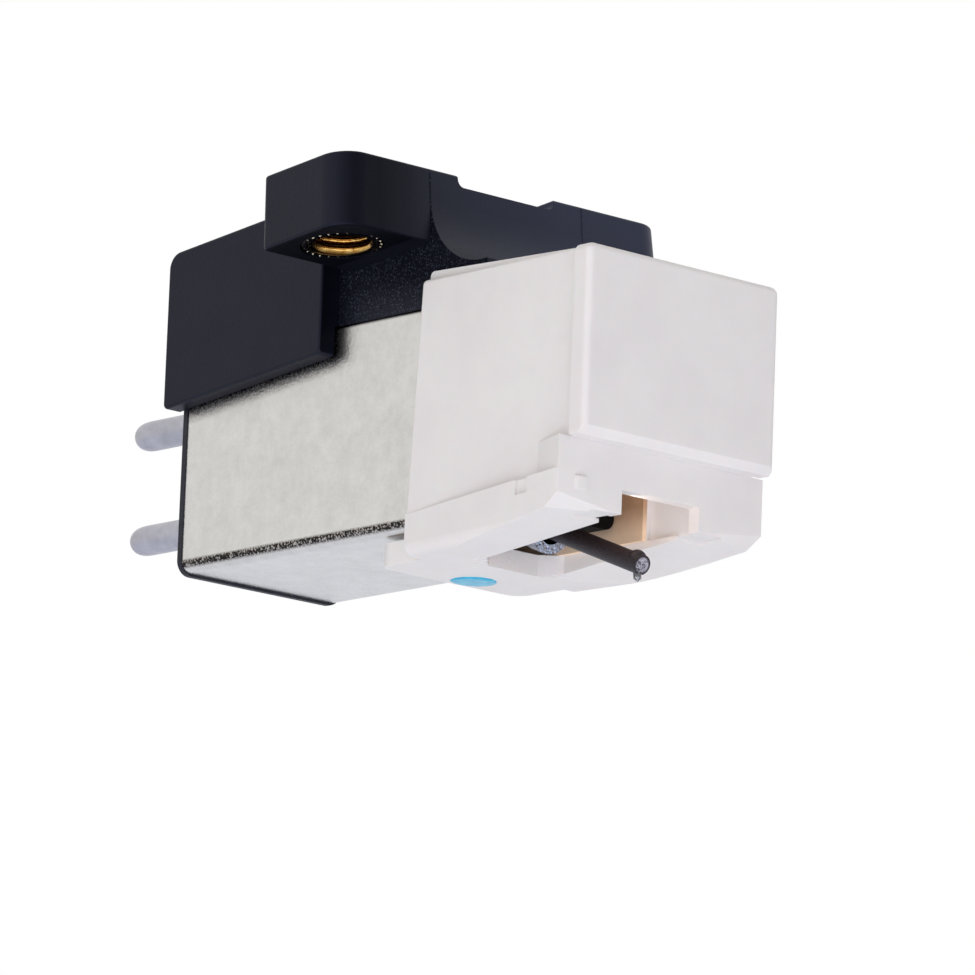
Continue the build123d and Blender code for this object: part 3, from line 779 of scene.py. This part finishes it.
@dataclass(frozen=True)
class FoiledRubber(Finish):
    """Black butyl rubber with crimped foil round the collar that grips the cantilever.

    Attributes:
        foil: Colour of the foil, sRGB hex.
        foil_roughness: Roughness of the foil.
        collar: Radius of the collar, mm.
        collar_along: Where the foil begins and ends along the rod from its pivot, mm.
        crimp: Size of one crimp, mm.
        crimp_height: Height of the crimps, in heights of the rubber's grain.
    """

    foil: str = "#8E94A2"
    foil_roughness: float = 0.14
    collar: float = 0.97
    collar_along: tuple[float, float] = (-0.5, 0.29)
    crimp: float = 0.13
    crimp_height: float = 9.0

    def zone(self, skin: Skin) -> Socket:
        """Mark the foil round the collar.

        Args:
            skin: Nodes of the material.
        Returns:
            1 on the foil and 0 on the rubber.
        """
        _, along, radius = skin.along_rod()
        first, last = self.collar_along
        return skin.overlap(skin.belt(radius, 0.0, self.collar), skin.belt(along, -last, -first))

    def mottle(self, skin: Skin) -> Socket:
        """Wrap the collar in foil."""
        return skin.blend(super().mottle(skin), self.foil, self.zone(skin))

    def relief(self, skin: Skin) -> Socket:
        """Add the foil's crimps to the rubber's grain.

        Args:
            skin: Nodes of the material.
        Returns:
            The height.
        """
        pattern = {"Vector": skin.place, "Scale": per_mm(self.crimp)}
        crimps = add_node(skin.tree, "ShaderNodeTexVoronoi", pattern).outputs["Distance"]
        return skin.roughen(super().relief(skin), self.crimp_height, crimps, self.zone(skin))

    def refine(self, skin: Skin, surface: Node) -> None:
        """Make the foil bright metal and leave the rubber dull.

        Args:
            skin: Nodes of the material.
            surface: Its main shader.
        """
        foil = self.zone(skin)
        shine = add_node(
            skin.tree,
            "ShaderNodeMapRange",
            {"Value": foil, "To Min": self.roughness[1], "To Max": self.foil_roughness},
        )
        skin.tree.links.new(foil, surface.inputs["Metallic"])
        skin.tree.links.new(shine.outputs["Result"], surface.inputs["Roughness"])


# Spark-textured nylon: blue-black and satin
BRACKET_NYLON = MouldedBlack(
    "black_moulded_nylon", "#06070C", "#090A11", 2.2, (0.4, 0.54), 0.14, 0.006, gloss=0.25
)
# Paper phenolic of the terminal plate: black, its sawn edge a little paler
PLATE_PHENOLIC = Finish(
    "black_paper_phenolic", "#0E0F16", "#1C1E2C", 0.15, (0.45, 0.6), 0.1, 0.01, gloss=0.3
)
# Turned brass: bright, with fine tool marks
TURNED_BRASS = ThreadedBrass(
    "turned_brass", "#E8C070", "#A87028", 0.22, (0.08, 0.2), 0.16, 0.02, metallic=1.0
)
# Plated sheet: satin nickel with a fine grain
NICKEL_SHEET = FoldedSheet(
    "nickel_plated_sheet_steel",
    "#D4D2CE",
    "#C6C4C0",
    0.9,
    (0.24, 0.36),
    0.1,
    0.012,
    stretch=1.4,
    metallic=1.0,
    fleck_crisp=0.8,
)
# Tin-plated brass pins: grey, softly shining
TINNED_BRASS = Finish(
    "tin_plated_brass", "#B2B1B9", "#A09FA7", 0.6, (0.3, 0.42), 0.12, 0.004, metallic=1.0
)
# Glass-filled phenolic of the coil formers: dull tan
COIL_PHENOLIC = Finish("moulded_phenolic", "#D9D2BF", "#C4BBA4", 0.5, (0.5, 0.65), 0.1, 0.004)
# Rolled nickel-iron laminations: grey, with rolling lines
CORE_IRON = Finish(
    "rolled_nickel_iron",
    "#B4B4B7",
    "#9A9A9D",
    0.4,
    (0.34, 0.5),
    0.08,
    0.004,
    stretch=4.0,
    metallic=1.0,
)
# Enamelled copper wire: red-brown metal under a clear coat
COPPER_WIRE = CoatedWire(
    "enamelled_copper_wire", "#C4713F", "#A4552A", 0.4, (0.25, 0.4), 0.1, 0.002, metallic=1.0
)
# White polystyrene: cool white, softly glossy
HOLDER_STYRENE = WhiteMoulding(
    "white_moulded_polystyrene", "#E8E4E2", "#E3DEDD", 3.0, (0.36, 0.46), 0.3, 0.002
)
# Brushed-on cyan enamel: softly glossy, with brush ripples that catch the light
DOT_ENAMEL = Finish(
    "cyan_brushed_enamel", "#129FCC", "#44C2E0", 0.4, (0.2, 0.3), 0.35, 0.012, gloss=0.2
)
# Drawn tube with a thin gilt plating: pale brown gold, satin, with painted light towards its lower
# rim
GILT_SLEEVE = PlatedTube(
    "gilt_drawn_tube", "#CDA888", "#BB9676", 0.6, (0.26, 0.4), 0.3, 0.006, metallic=0.3
)
# Butyl rubber: dead black, with foil at the collar
DAMPER_BUTYL = FoiledRubber(
    "moulded_butyl_rubber", "#060607", "#0D0D0E", 0.3, (0.62, 0.8), 0.08, 0.006, gloss=0.1
)
# Stainless spring wire: bright grey
SPRING_STEEL = Finish(
    "drawn_stainless_wire", "#B6B7BA", "#A2A3A6", 0.2, (0.2, 0.32), 0.05, 0.001, metallic=1.0
)
# Carbon-fibre composite rod: dark brown grey, pale where it was cut
CARBON_ROD = CutRod(
    "pultruded_carbon_composite",
    "#171215",
    "#302A30",
    0.07,
    (0.4, 0.6),
    0.07,
    0.012,
    stretch=2.0,
    gloss=0.3,
)
# Polished titanium shank: dark mirror
SHANK_TITANIUM = Finish(
    "polished_titanium", "#6A6A6E", "#57575B", 0.3, (0.14, 0.24), 0.05, 0.001, metallic=1.0
)
# Polished diamond: clear, with sharp bright reflections
TIP_DIAMOND = ClearGem("polished_diamond", "#F4F5F8", "#EDEFF4", 0.3, (0.0, 0.04), 0.1, 0.0002)
# Sintered magnet rods: dull grey, granular
MAGNET_ALLOY = Finish(
    "sintered_magnet_alloy", "#8A8B90", "#707177", 0.2, (0.38, 0.55), 0.06, 0.003, metallic=1.0
)


def dress(finish: Finish, *pieces: Piece) -> None:
    """Give one finish to several objects.

    Args:
        finish: Finish to build.
        pieces: Objects whose material slots take it.
    """
    material = finish.build()
    for piece in pieces:
        piece.data.materials.clear()
        piece.data.materials.append(material)
        log.info("dressed %s in %s", piece.name, finish.name)


def cad(*names: str) -> list[Piece]:
    """The CAD nodes of these names."""
    return [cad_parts[name] for name in names]


def along_can(name: str) -> tuple[np.ndarray, np.ndarray, np.ndarray]:
    """Measure a CAD node in the can's own directions.

    Args:
        name: Name of the node.
    Returns:
        Lowest, highest and middle place to the right, forward and upward, mm.
    """
    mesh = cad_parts[name].data
    corners = np.empty(3 * len(mesh.vertices))
    mesh.vertices.foreach_get("co", corners)
    places = corners.reshape(-1, 3) @ np.stack((RIGHT, FORWARD, UPWARD), axis=1)
    low, high = places.min(axis=0) / MM, places.max(axis=0) / MM
    return low, high, (low + high) / 2


def from_can(right: np.ndarray, ahead: np.ndarray, level: np.ndarray) -> np.ndarray:
    """Turn places along the can into frame points: right, forward and upward, added up.

    Args:
        right: Distances to the right.
        ahead: Distances forward.
        level: Distances upward.
    Returns:
        Points with their three coordinates last.
    """
    return right[..., None] * RIGHT + ahead[..., None] * FORWARD + level[..., None] * UPWARD


def surface(
    name: str, points: np.ndarray, wrap_rows: bool = False, wrap_columns: bool = True
) -> Piece:
    """Put a grid of points into a mesh of four-sided faces, with its poles closed.

    Args:
        name: Name of the object.
        points: Grid of points, rows by columns by three, in metres.
        wrap_rows: Whether the last row joins the first.
        wrap_columns: Whether the last column joins the first.
    Returns:
        The object, at the origin.
    """
    rows, columns = points.shape[:2]
    number = np.arange(rows * columns).reshape(rows, columns)
    after = np.roll(number, -1, axis=0) if wrap_rows else number[1:]
    first = number if wrap_rows else number[:-1]
    if wrap_columns:
        beside = (np.roll(first, -1, axis=1), np.roll(after, -1, axis=1))
    else:
        beside = (first[:, 1:], after[:, 1:])
        first, after = first[:, :-1], after[:, :-1]
    faces = np.stack((first, beside[0], beside[1], after), axis=-1).reshape(-1, 4)
    mesh = bpy.data.meshes.new(name)
    mesh.from_pydata(points.reshape(-1, 3).tolist(), [], faces.tolist())
    closed = bmesh.new()
    closed.from_mesh(mesh)
    bmesh.ops.remove_doubles(closed, verts=closed.verts, dist=WELD * MM)
    bmesh.ops.recalc_face_normals(closed, faces=closed.faces)
    closed.to_mesh(mesh)
    closed.free()
    piece = bpy.data.objects.new(name, mesh)
    bpy.context.scene.collection.objects.link(piece)
    mesh.shade_smooth()
    log.info("piece %s: %d faces", name, len(mesh.polygons))
    return piece


def around(count: int) -> np.ndarray:
    """Angles of a full turn in equal steps, without the repeated last one."""
    return np.arange(count) * (2 * math.pi / count)


@dataclass
class Bracket:
    """Moulded bracket with its two threaded brass inserts.

    Attributes:
        bore: Radius at the thread's crests, mm.
        thread_depth: Depth of the thread, mm.
        pitch: Pitch of the thread, mm.
        mouth: Depth and width of the countersink at both mouths, mm.
        skin: Gap between the insert and the bracket, mm.
        knurl_depth: Depth of the knurl on the outside, mm.
        knurl_teeth: Teeth of the knurl.
        rim: Width of the bevel between the knurl and the end faces, mm.
        tip_radius: Radius of the ring of burred tips on the lower end face, mm.
        tip_width: Half width of a tip, mm.
        tip_height: Height of a tip, mm.
        tip_power: Power of the cosine that makes a tip slender.
        tip_wander: How far the tips' height wanders round the ring, as a share.
        tip_waves: Waves of that wander in one turn.
        tip_start: Angle at which it starts, radians.
        steps_around: Points around the insert.
        steps_per_turn: Rows for one turn of the thread.
    """

    bore: float = 1.05
    thread_depth: float = 0.2
    pitch: float = 0.35
    mouth: float = 0.12
    skin: float = 0.01
    knurl_depth: float = 0.1
    knurl_teeth: int = 26
    rim: float = 0.03
    tip_radius: float = 1.47
    tip_width: float = 0.06
    tip_height: float = 0.075
    tip_power: int = 6
    tip_wander: float = 0.4
    tip_waves: int = 3
    tip_start: float = 1.9
    steps_around: int = 312
    steps_per_turn: int = 16

    def build(self) -> None:
        """Make both inserts and dress the bracket."""
        dress(BRACKET_NYLON, *cad("mounting_bracket"))
        inserts = [self.insert("left_threaded_insert"), self.insert("right_threaded_insert")]
        dress(TURNED_BRASS, *inserts)

    def insert(self, node: str) -> Piece:
        """Make one insert as a closed ring of rows: bore, top face, knurl, bottom face.

        In the bore the radius is the crest plus a cosine wave of the thread, which climbs
        one pitch a turn, or the countersink where that is wider. On the outside it is the
        CAD radius less a cosine knurl. Under the bottom face each tooth of the knurl leaves
        a burred tip, a high power of that cosine, whose height wanders in waves round the ring.

        Args:
            node: CAD insert that the piece stands for.
        Returns:
            The insert.
        """
        low, high = (np.array(corner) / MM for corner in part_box(node))
        middle = (low + high) / 2
        outside = (high[0] - low[0]) / 2 - self.skin
        angle = around(self.steps_around)[None, :]
        rows = int(self.steps_per_turn * (high[2] - low[2]) / self.pitch)
        height = np.linspace(low[2], high[2], rows)[:, None]
        turns = height / self.pitch - angle / (2 * math.pi)
        thread = self.bore + self.thread_depth * (0.5 - 0.5 * np.cos(2 * math.pi * turns))
        to_mouth = np.minimum(height - low[2], high[2] - height)
        bore = np.maximum(thread, self.bore + self.mouth - to_mouth)
        knurl = outside - self.knurl_depth * (0.5 - 0.5 * np.cos(self.knurl_teeth * angle))
        waves = np.cos(self.tip_waves * angle + self.tip_start)
        wander = 1 - self.tip_wander + self.tip_wander * waves
        tooth = 0.5 + 0.5 * np.cos(self.knurl_teeth * angle)
        burr = self.tip_height * wander * tooth ** self.tip_power
        rings = (
            (bore, height),
            (outside - self.knurl_depth - self.rim, high[2]),
            (knurl, high[2] - self.rim),
            (knurl, low[2] + self.rim),
            (self.tip_radius + self.tip_width, low[2]),
            (self.tip_radius, low[2] - burr),
            (self.tip_radius - self.tip_width, low[2]),
        )
        plain = np.zeros_like(angle)
        radius, level = (
            np.concatenate([ring + plain for ring in column]) for column in zip(*rings)
        )
        right = middle[0] + radius * np.cos(angle)
        rearward = middle[1] + radius * np.sin(angle)
        points = np.stack((right, rearward, level), axis=-1)
        piece = surface(f"{node}_turned", points * MM, wrap_rows=True)
        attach(piece, Body.CARTRIDGE.value)
        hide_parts(node)
        return piece


@dataclass
class CoilBody:
    """Shield can with its terminal plate, pins, cores, bobbins and windings.

    Attributes:
        wire_pitch: Spacing of the wire turns, mm, drawn coarser than real wire to show.
        power: Power of the squircle that rounds the winding's corners.
        steps_per_turn: Rows for one turn of wire.
        steps_around: Points around a winding.
        tube_gap: Thickness of the winding, mm.
    """

    wire_pitch: float = 0.15
    power: int = 8
    steps_per_turn: int = 6
    steps_around: int = 64
    tube_gap: float = 0.43

    def build(self) -> None:
        """Make the windings and dress the can's pieces."""
        dress(NICKEL_SHEET, *cad("shield_can"))
        dress(PLATE_PHENOLIC, *cad("terminal_plate"))
        pins = ("left_signal_pin", "left_ground_pin", "right_signal_pin", "right_ground_pin")
        dress(TINNED_BRASS, *cad(*pins))
        dress(CORE_IRON, *cad("left_core", "right_core"))
        legs = [f"{side}_{level}" for side in ("left", "right") for level in ("upper", "lower")]
        dress(COIL_PHENOLIC, *cad("coil_frame", *(f"{leg}_bobbin" for leg in legs)))
        dress(COPPER_WIRE, *(self.winding(f"{leg}_winding") for leg in legs))

    def winding(self, node: str) -> Piece:
        """Make one winding: a rounded rectangle carried along its leg, ridged by the turns.

        The outer wall swells by half a wire pitch at the middle of each turn, as the square
        root of one less the square of the distance from that middle. The inner wall is plain.

        Args:
            node: CAD winding that the piece stands for.
        Returns:
            The winding.
        """
        low, high, middle = along_can(node)
        half = (high - low) / 2
        turns = int((high[1] - low[1]) / self.wire_pitch)
        rows = np.linspace(0.0, turns, turns * self.steps_per_turn + 1)
        across = 2 * (rows % 1.0) - 1
        swell = (np.sqrt(np.maximum(0.0, 1 - across ** 2)) - 1) * self.wire_pitch / 2
        inset = np.concatenate((swell, [-self.tube_gap, -self.tube_gap]))
        ahead = np.concatenate((low[1] + rows * (high[1] - low[1]) / turns, [high[1], low[1]]))
        angle = around(self.steps_around)
        # A squircle gives the rounded rectangle
        powers = np.abs(np.cos(angle)) ** self.power + np.abs(np.sin(angle)) ** self.power
        stretch = powers ** (-1 / self.power)
        right = middle[0] + (half[0] + inset[:, None]) * stretch * np.cos(angle)
        level = middle[2] + (half[2] + inset[:, None]) * stretch * np.sin(angle)
        points = from_can(right, np.broadcast_to(ahead[:, None], right.shape), level)
        piece = surface(f"{node}_turns", points * MM, wrap_rows=True)
        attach(piece, Body.CARTRIDGE.value)
        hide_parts(node)
        return piece


@dataclass
class StylusHolder:
    """White holder with its paint dot, and the sleeve, anchor and wire inside it.

    Attributes:
        dot_height: Height of the paint's dome, mm.
        dot_wander: How far the brushed edge wanders, as a share of the radius.
        dot_waves: Strength, number in one turn and starting angle of each of its waves.
        dot_power: Power of the fall from the middle, high for a flat dome.
        dot_sink: How far the paint reaches into the holder, mm.
        rings: Rows of the dome.
        steps_around: Points around the dot.
    """

    dot_height: float = 0.07
    dot_wander: float = 0.035
    dot_waves: tuple[tuple[float, int, float], ...] = ((1.0, 2, 0.7), (0.6, 3, 2.1), (0.4, 7, 0.0))
    dot_power: int = 6
    dot_sink: float = 0.004
    rings: int = 24
    steps_around: int = 96

    def build(self) -> None:
        """Make the paint dot and dress the holder's pieces."""
        dress(HOLDER_STYRENE, *cad("stylus_holder"))
        dress(GILT_SLEEVE, *cad("suspension_sleeve"))
        dress(SPRING_STEEL, *cad("suspension_wire", "wire_anchor"))
        dress(DOT_ENAMEL, self.paint_dot("paint_dot"))

    def paint_dot(self, node: str) -> Piece:
        """Make the dot: a dome whose edge wanders, closed by a flat underside.

        The height falls as the square root of one less a power of the distance from the
        middle. The radius is the CAD radius with slow waves round the edge.

        Args:
            node: CAD dot that the piece stands for.
        Returns:
            The dot.
        """
        low, high, middle = along_can(node)
        radius = (high[0] - low[0]) / 2
        angle = around(self.steps_around)[None, :]
        waves = sum(part * np.sin(count * angle + start) for part, count, start in self.dot_waves)
        edge = radius * (1 - self.dot_wander + self.dot_wander * waves / 2)
        share = np.sin(np.linspace(0.0, math.pi / 2, self.rings))[:, None]
        drop = self.dot_height * np.sqrt(np.maximum(0.0, 1 - share ** self.dot_power))
        spread = np.concatenate((share, np.zeros((1, 1))))
        fall = np.concatenate((drop, np.full((1, 1), -self.dot_sink)))
        fall[-2] = -self.dot_sink
        right = middle[0] + spread * edge * np.cos(angle)
        ahead = middle[1] + spread * edge * np.sin(angle)
        level = high[2] - np.broadcast_to(fall, right.shape)
        piece = surface(f"{node}_dome", from_can(right, ahead, level) * MM)
        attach(piece, Body.STYLUS.value)
        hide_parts(node)
        return piece


@dataclass
class Cantilever:
    """Damper, cantilever rod, magnets, and the shank with its diamond.

    Attributes:
        band: Height of the straight band on top of the diamond, mm.
        point: Radius of the rounded point, mm.
        steps_around: Points around the diamond.
        cap_rows: Rows of the rounded point.
    """

    band: float = 0.03
    point: float = 0.02
    steps_around: int = 64
    cap_rows: int = 8

    def build(self) -> None:
        """Make the diamond and dress the moving pieces."""
        dress(DAMPER_BUTYL, *cad("rubber_damper"))
        dress(CARBON_ROD, *cad("cantilever"))
        dress(SHANK_TITANIUM, *cad("stylus_shank", "magnet_yoke"))
        dress(MAGNET_ALLOY, *cad("left_magnet", "right_magnet"))
        dress(TIP_DIAMOND, self.diamond("diamond_tip"))

    def diamond(self, node: str) -> Piece:
        """Make the tip: a profile turned about the upright axis.

        The profile is a flat top, a straight band, a cone and the point, an eighth of a circle.

        Args:
            node: CAD tip that the piece stands for.
        Returns:
            The diamond.
        """
        low, high = (np.array(corner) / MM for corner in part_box(node))
        middle = (low + high) / 2
        radius = (high[0] - low[0]) / 2
        bend = np.linspace(math.pi / 4, math.pi / 2, self.cap_rows)
        turned = np.concatenate(([0.0, radius, radius], self.point * np.cos(bend)))
        level = np.concatenate(
            (
                [high[2], high[2], high[2] - self.band],
                low[2] + self.point * (1 - np.sin(bend)),
            )
        )
        angle = around(self.steps_around)[None, :]
        right = middle[0] + turned[:, None] * np.cos(angle)
        rearward = middle[1] + turned[:, None] * np.sin(angle)
        height = np.broadcast_to(level[:, None], right.shape)
        points = np.stack((right, rearward, height), axis=-1)
        piece = surface(f"{node}_polished", points * MM)
        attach(piece, Body.CANTILEVER.value)
        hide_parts(node)
        return piece


@dataclass(frozen=True)
class Lamp:
    """A soft square lamp.

    Attributes:
        name: Name of the lamp.
        place: Where it stands, mm.
        aim: Point that it shines at, mm.
        size: Length of its side, mm.
        power: Radiant power, W.
        tint: Colour of its light, sRGB hex.
        mirrored: Whether shiny surfaces mirror the lamp itself.
    """

    name: str
    place: tuple[float, float, float]
    aim: tuple[float, float, float]
    size: float
    power: float
    tint: str = "#FFFFFF"
    mirrored: bool = True

    def build(self) -> None:
        """Hang the lamp and turn it to its aim."""
        light = bpy.data.lights.new(self.name, "AREA")
        light.energy = self.power
        light.size = self.size * MM
        light.color = linear(self.tint)[:3]
        lamp = bpy.data.objects.new(self.name, light)
        bpy.context.scene.collection.objects.link(lamp)
        lamp.location = Vector(self.place) * MM
        lamp.rotation_euler = (
            (Vector(self.place) - Vector(self.aim)).to_track_quat("Z", "Y").to_euler()
        )
        lamp.visible_camera = False
        lamp.visible_glossy = self.mirrored
        log.info("lamp %s", self.name)


@dataclass
class Studio:
    """Floor, light and camera.

    Attributes:
        floor_level: Level of the floor, mm, under the camera, which looks up from below.
        floor_size: Length of the floor's side, mm.
        paper: Colour of the floor, sRGB hex.
        paper_roughness: Roughness of the floor.
        glow: Light added where the eye, metal and glass see the floor, so that it is white.
        sheen: Colour of that light, sRGB hex.
        level: Strength of the even light on the object.
        tent: Colour of that light, sRGB hex.
        eye: Place of the camera, mm.
        azimuth: Camera's turn about the upright axis, degrees.
        elevation: Camera's height angle, degrees; negative looks up.
        roll: Camera's turn about its own axis, degrees.
        lens: Focal length, mm.
        sensor: Width of the camera's sensor, mm.
        near: Distance at which the camera begins to see, mm.
    """

    floor_level: float = -128.0
    floor_size: float = 4000.0
    paper: str = "#F4F4F4"
    paper_roughness: float = 0.9
    glow: float = 0.5
    sheen: str = "#E2E9FF"
    level: float = 0.55
    tent: str = "#FFFFFF"
    eye: tuple[float, float, float] = (-207.89, -223.96, -100.09)
    azimuth: float = -42.9586
    elevation: float = -16.1979
    roll: float = -1.9784
    lens: float = 311.42
    sensor: float = 36.0
    near: float = 1.0

    def build(self) -> None:
        """Set up the whole studio."""
        self.lay_floor()
        self.light_world()
        lamps = (
            Lamp("key_lamp", (-260.0, -60.0, 60.0), (0.0, 0.0, -9.0), 460.0, 0.185, "#FFFBF5"),
            Lamp("low_lamp", (-38.0, -46.0, -124.0), (0.0, -4.0, -14.0), 200.0, 0.2, "#ECF0FF"),
            Lamp(
                "near_lamp",
                (-130.0, -140.0, -120.0),
                (0.0, -6.0, -12.0),
                150.0,
                0.115,
                "#F4F4FF",
                mirrored=False,
            ),
            # Stands for the light that the thin white walls let through into the mouth
            Lamp("mouth_lamp", (-1.2, -8.9, -14.3), (1.9, -8.0, -14.0), 1.5, 3.8e-5, "#FFE2CE"),
        )
        for lamp in lamps:
            lamp.build()
        self.hang_camera()
        bpy.context.scene.view_settings.view_transform = "Standard"

    def lay_floor(self) -> None:
        """Lay a flat square of pale paper, its corners half its side from the middle."""
        side = np.array([-0.5, 0.5]) * self.floor_size * MM
        across, along = np.meshgrid(side, side, indexing="ij")
        points = np.stack((across, along, np.full_like(across, self.floor_level * MM)), axis=-1)
        floor = surface("floor", points, wrap_columns=False)
        material = bpy.data.materials.new("pale_paper")
        material.use_nodes = True
        tree = material.node_tree
        skin = tree.nodes["Principled BSDF"]
        skin.inputs["Base Color"].default_value = linear(self.paper)
        skin.inputs["Roughness"].default_value = self.paper_roughness
        skin.inputs["Emission Color"].default_value = linear(self.sheen)
        glow = add_node(tree, "ShaderNodeMapRange", {"Value": self.seen(tree), "To Max": self.glow})
        tree.links.new(glow.outputs["Result"], skin.inputs["Emission Strength"])
        floor.data.materials.append(material)

    def seen(self, tree: Tree) -> Socket:
        """Tell rays that show a surface to the eye from those that light something else.

        Args:
            tree: Node tree that takes the nodes.
        Returns:
            1 for camera, glossy and transmission rays, 0 for all others.
        """
        path = add_node(tree, "ShaderNodeLightPath").outputs
        shown = path["Is Camera Ray"]
        for ray in ("Is Glossy Ray", "Is Transmission Ray"):
            shown = add_node(
                tree, "ShaderNodeMath", {0: shown, 1: path[ray]}, operation="MAXIMUM"
            ).outputs["Value"]
        return shown

    def light_world(self) -> None:
        """Light evenly from all round, with white for what the eye, metal and glass see."""
        world = bpy.data.worlds.new("light_tent")
        bpy.context.scene.world = world
        world.use_nodes = True
        tree = world.node_tree
        tree.nodes.clear()
        strength = add_node(
            tree, "ShaderNodeMapRange", {"Value": self.seen(tree), "To Min": self.level}
        )
        tent = add_node(
            tree,
            "ShaderNodeBackground",
            {"Color": linear(self.tent), "Strength": strength.outputs["Result"]},
        )
        add_node(tree, "ShaderNodeOutputWorld", {"Surface": tent.outputs["Background"]})

    def hang_camera(self) -> None:
        """Aim the camera: turned by its azimuth and elevation, then rolled about its axis."""
        turn, lift, roll = (
            math.radians(angle) for angle in (self.azimuth, self.elevation, self.roll)
        )
        back = Vector(
            (math.sin(turn) * math.cos(lift), -math.cos(turn) * math.cos(lift), math.sin(lift))
        )
        right = Vector((math.cos(turn), math.sin(turn), 0.0))
        up = back.cross(right)
        rolled_right = math.cos(roll) * right + math.sin(roll) * up
        rolled_up = math.cos(roll) * up - math.sin(roll) * right
        lens = bpy.data.cameras.new("camera")
        lens.lens = self.lens
        lens.sensor_width = self.sensor
        lens.clip_start = self.near * MM
        camera = bpy.data.objects.new("camera", lens)
        bpy.context.scene.collection.objects.link(camera)
        camera.matrix_world = Matrix.Translation(Vector(self.eye) * MM) @ Matrix(
            (rolled_right, rolled_up, back)
        ).transposed().to_4x4()
        bpy.context.scene.camera = camera


def main() -> None:
    """Build the sub-assemblies and the studio."""
    logging.basicConfig(level=logging.INFO, format="%(name)s: %(message)s")
    for assembly in (Bracket(), CoilBody(), StylusHolder(), Cantilever(), Studio()):
        assembly.build()


if __name__ == "__main__":
    main()
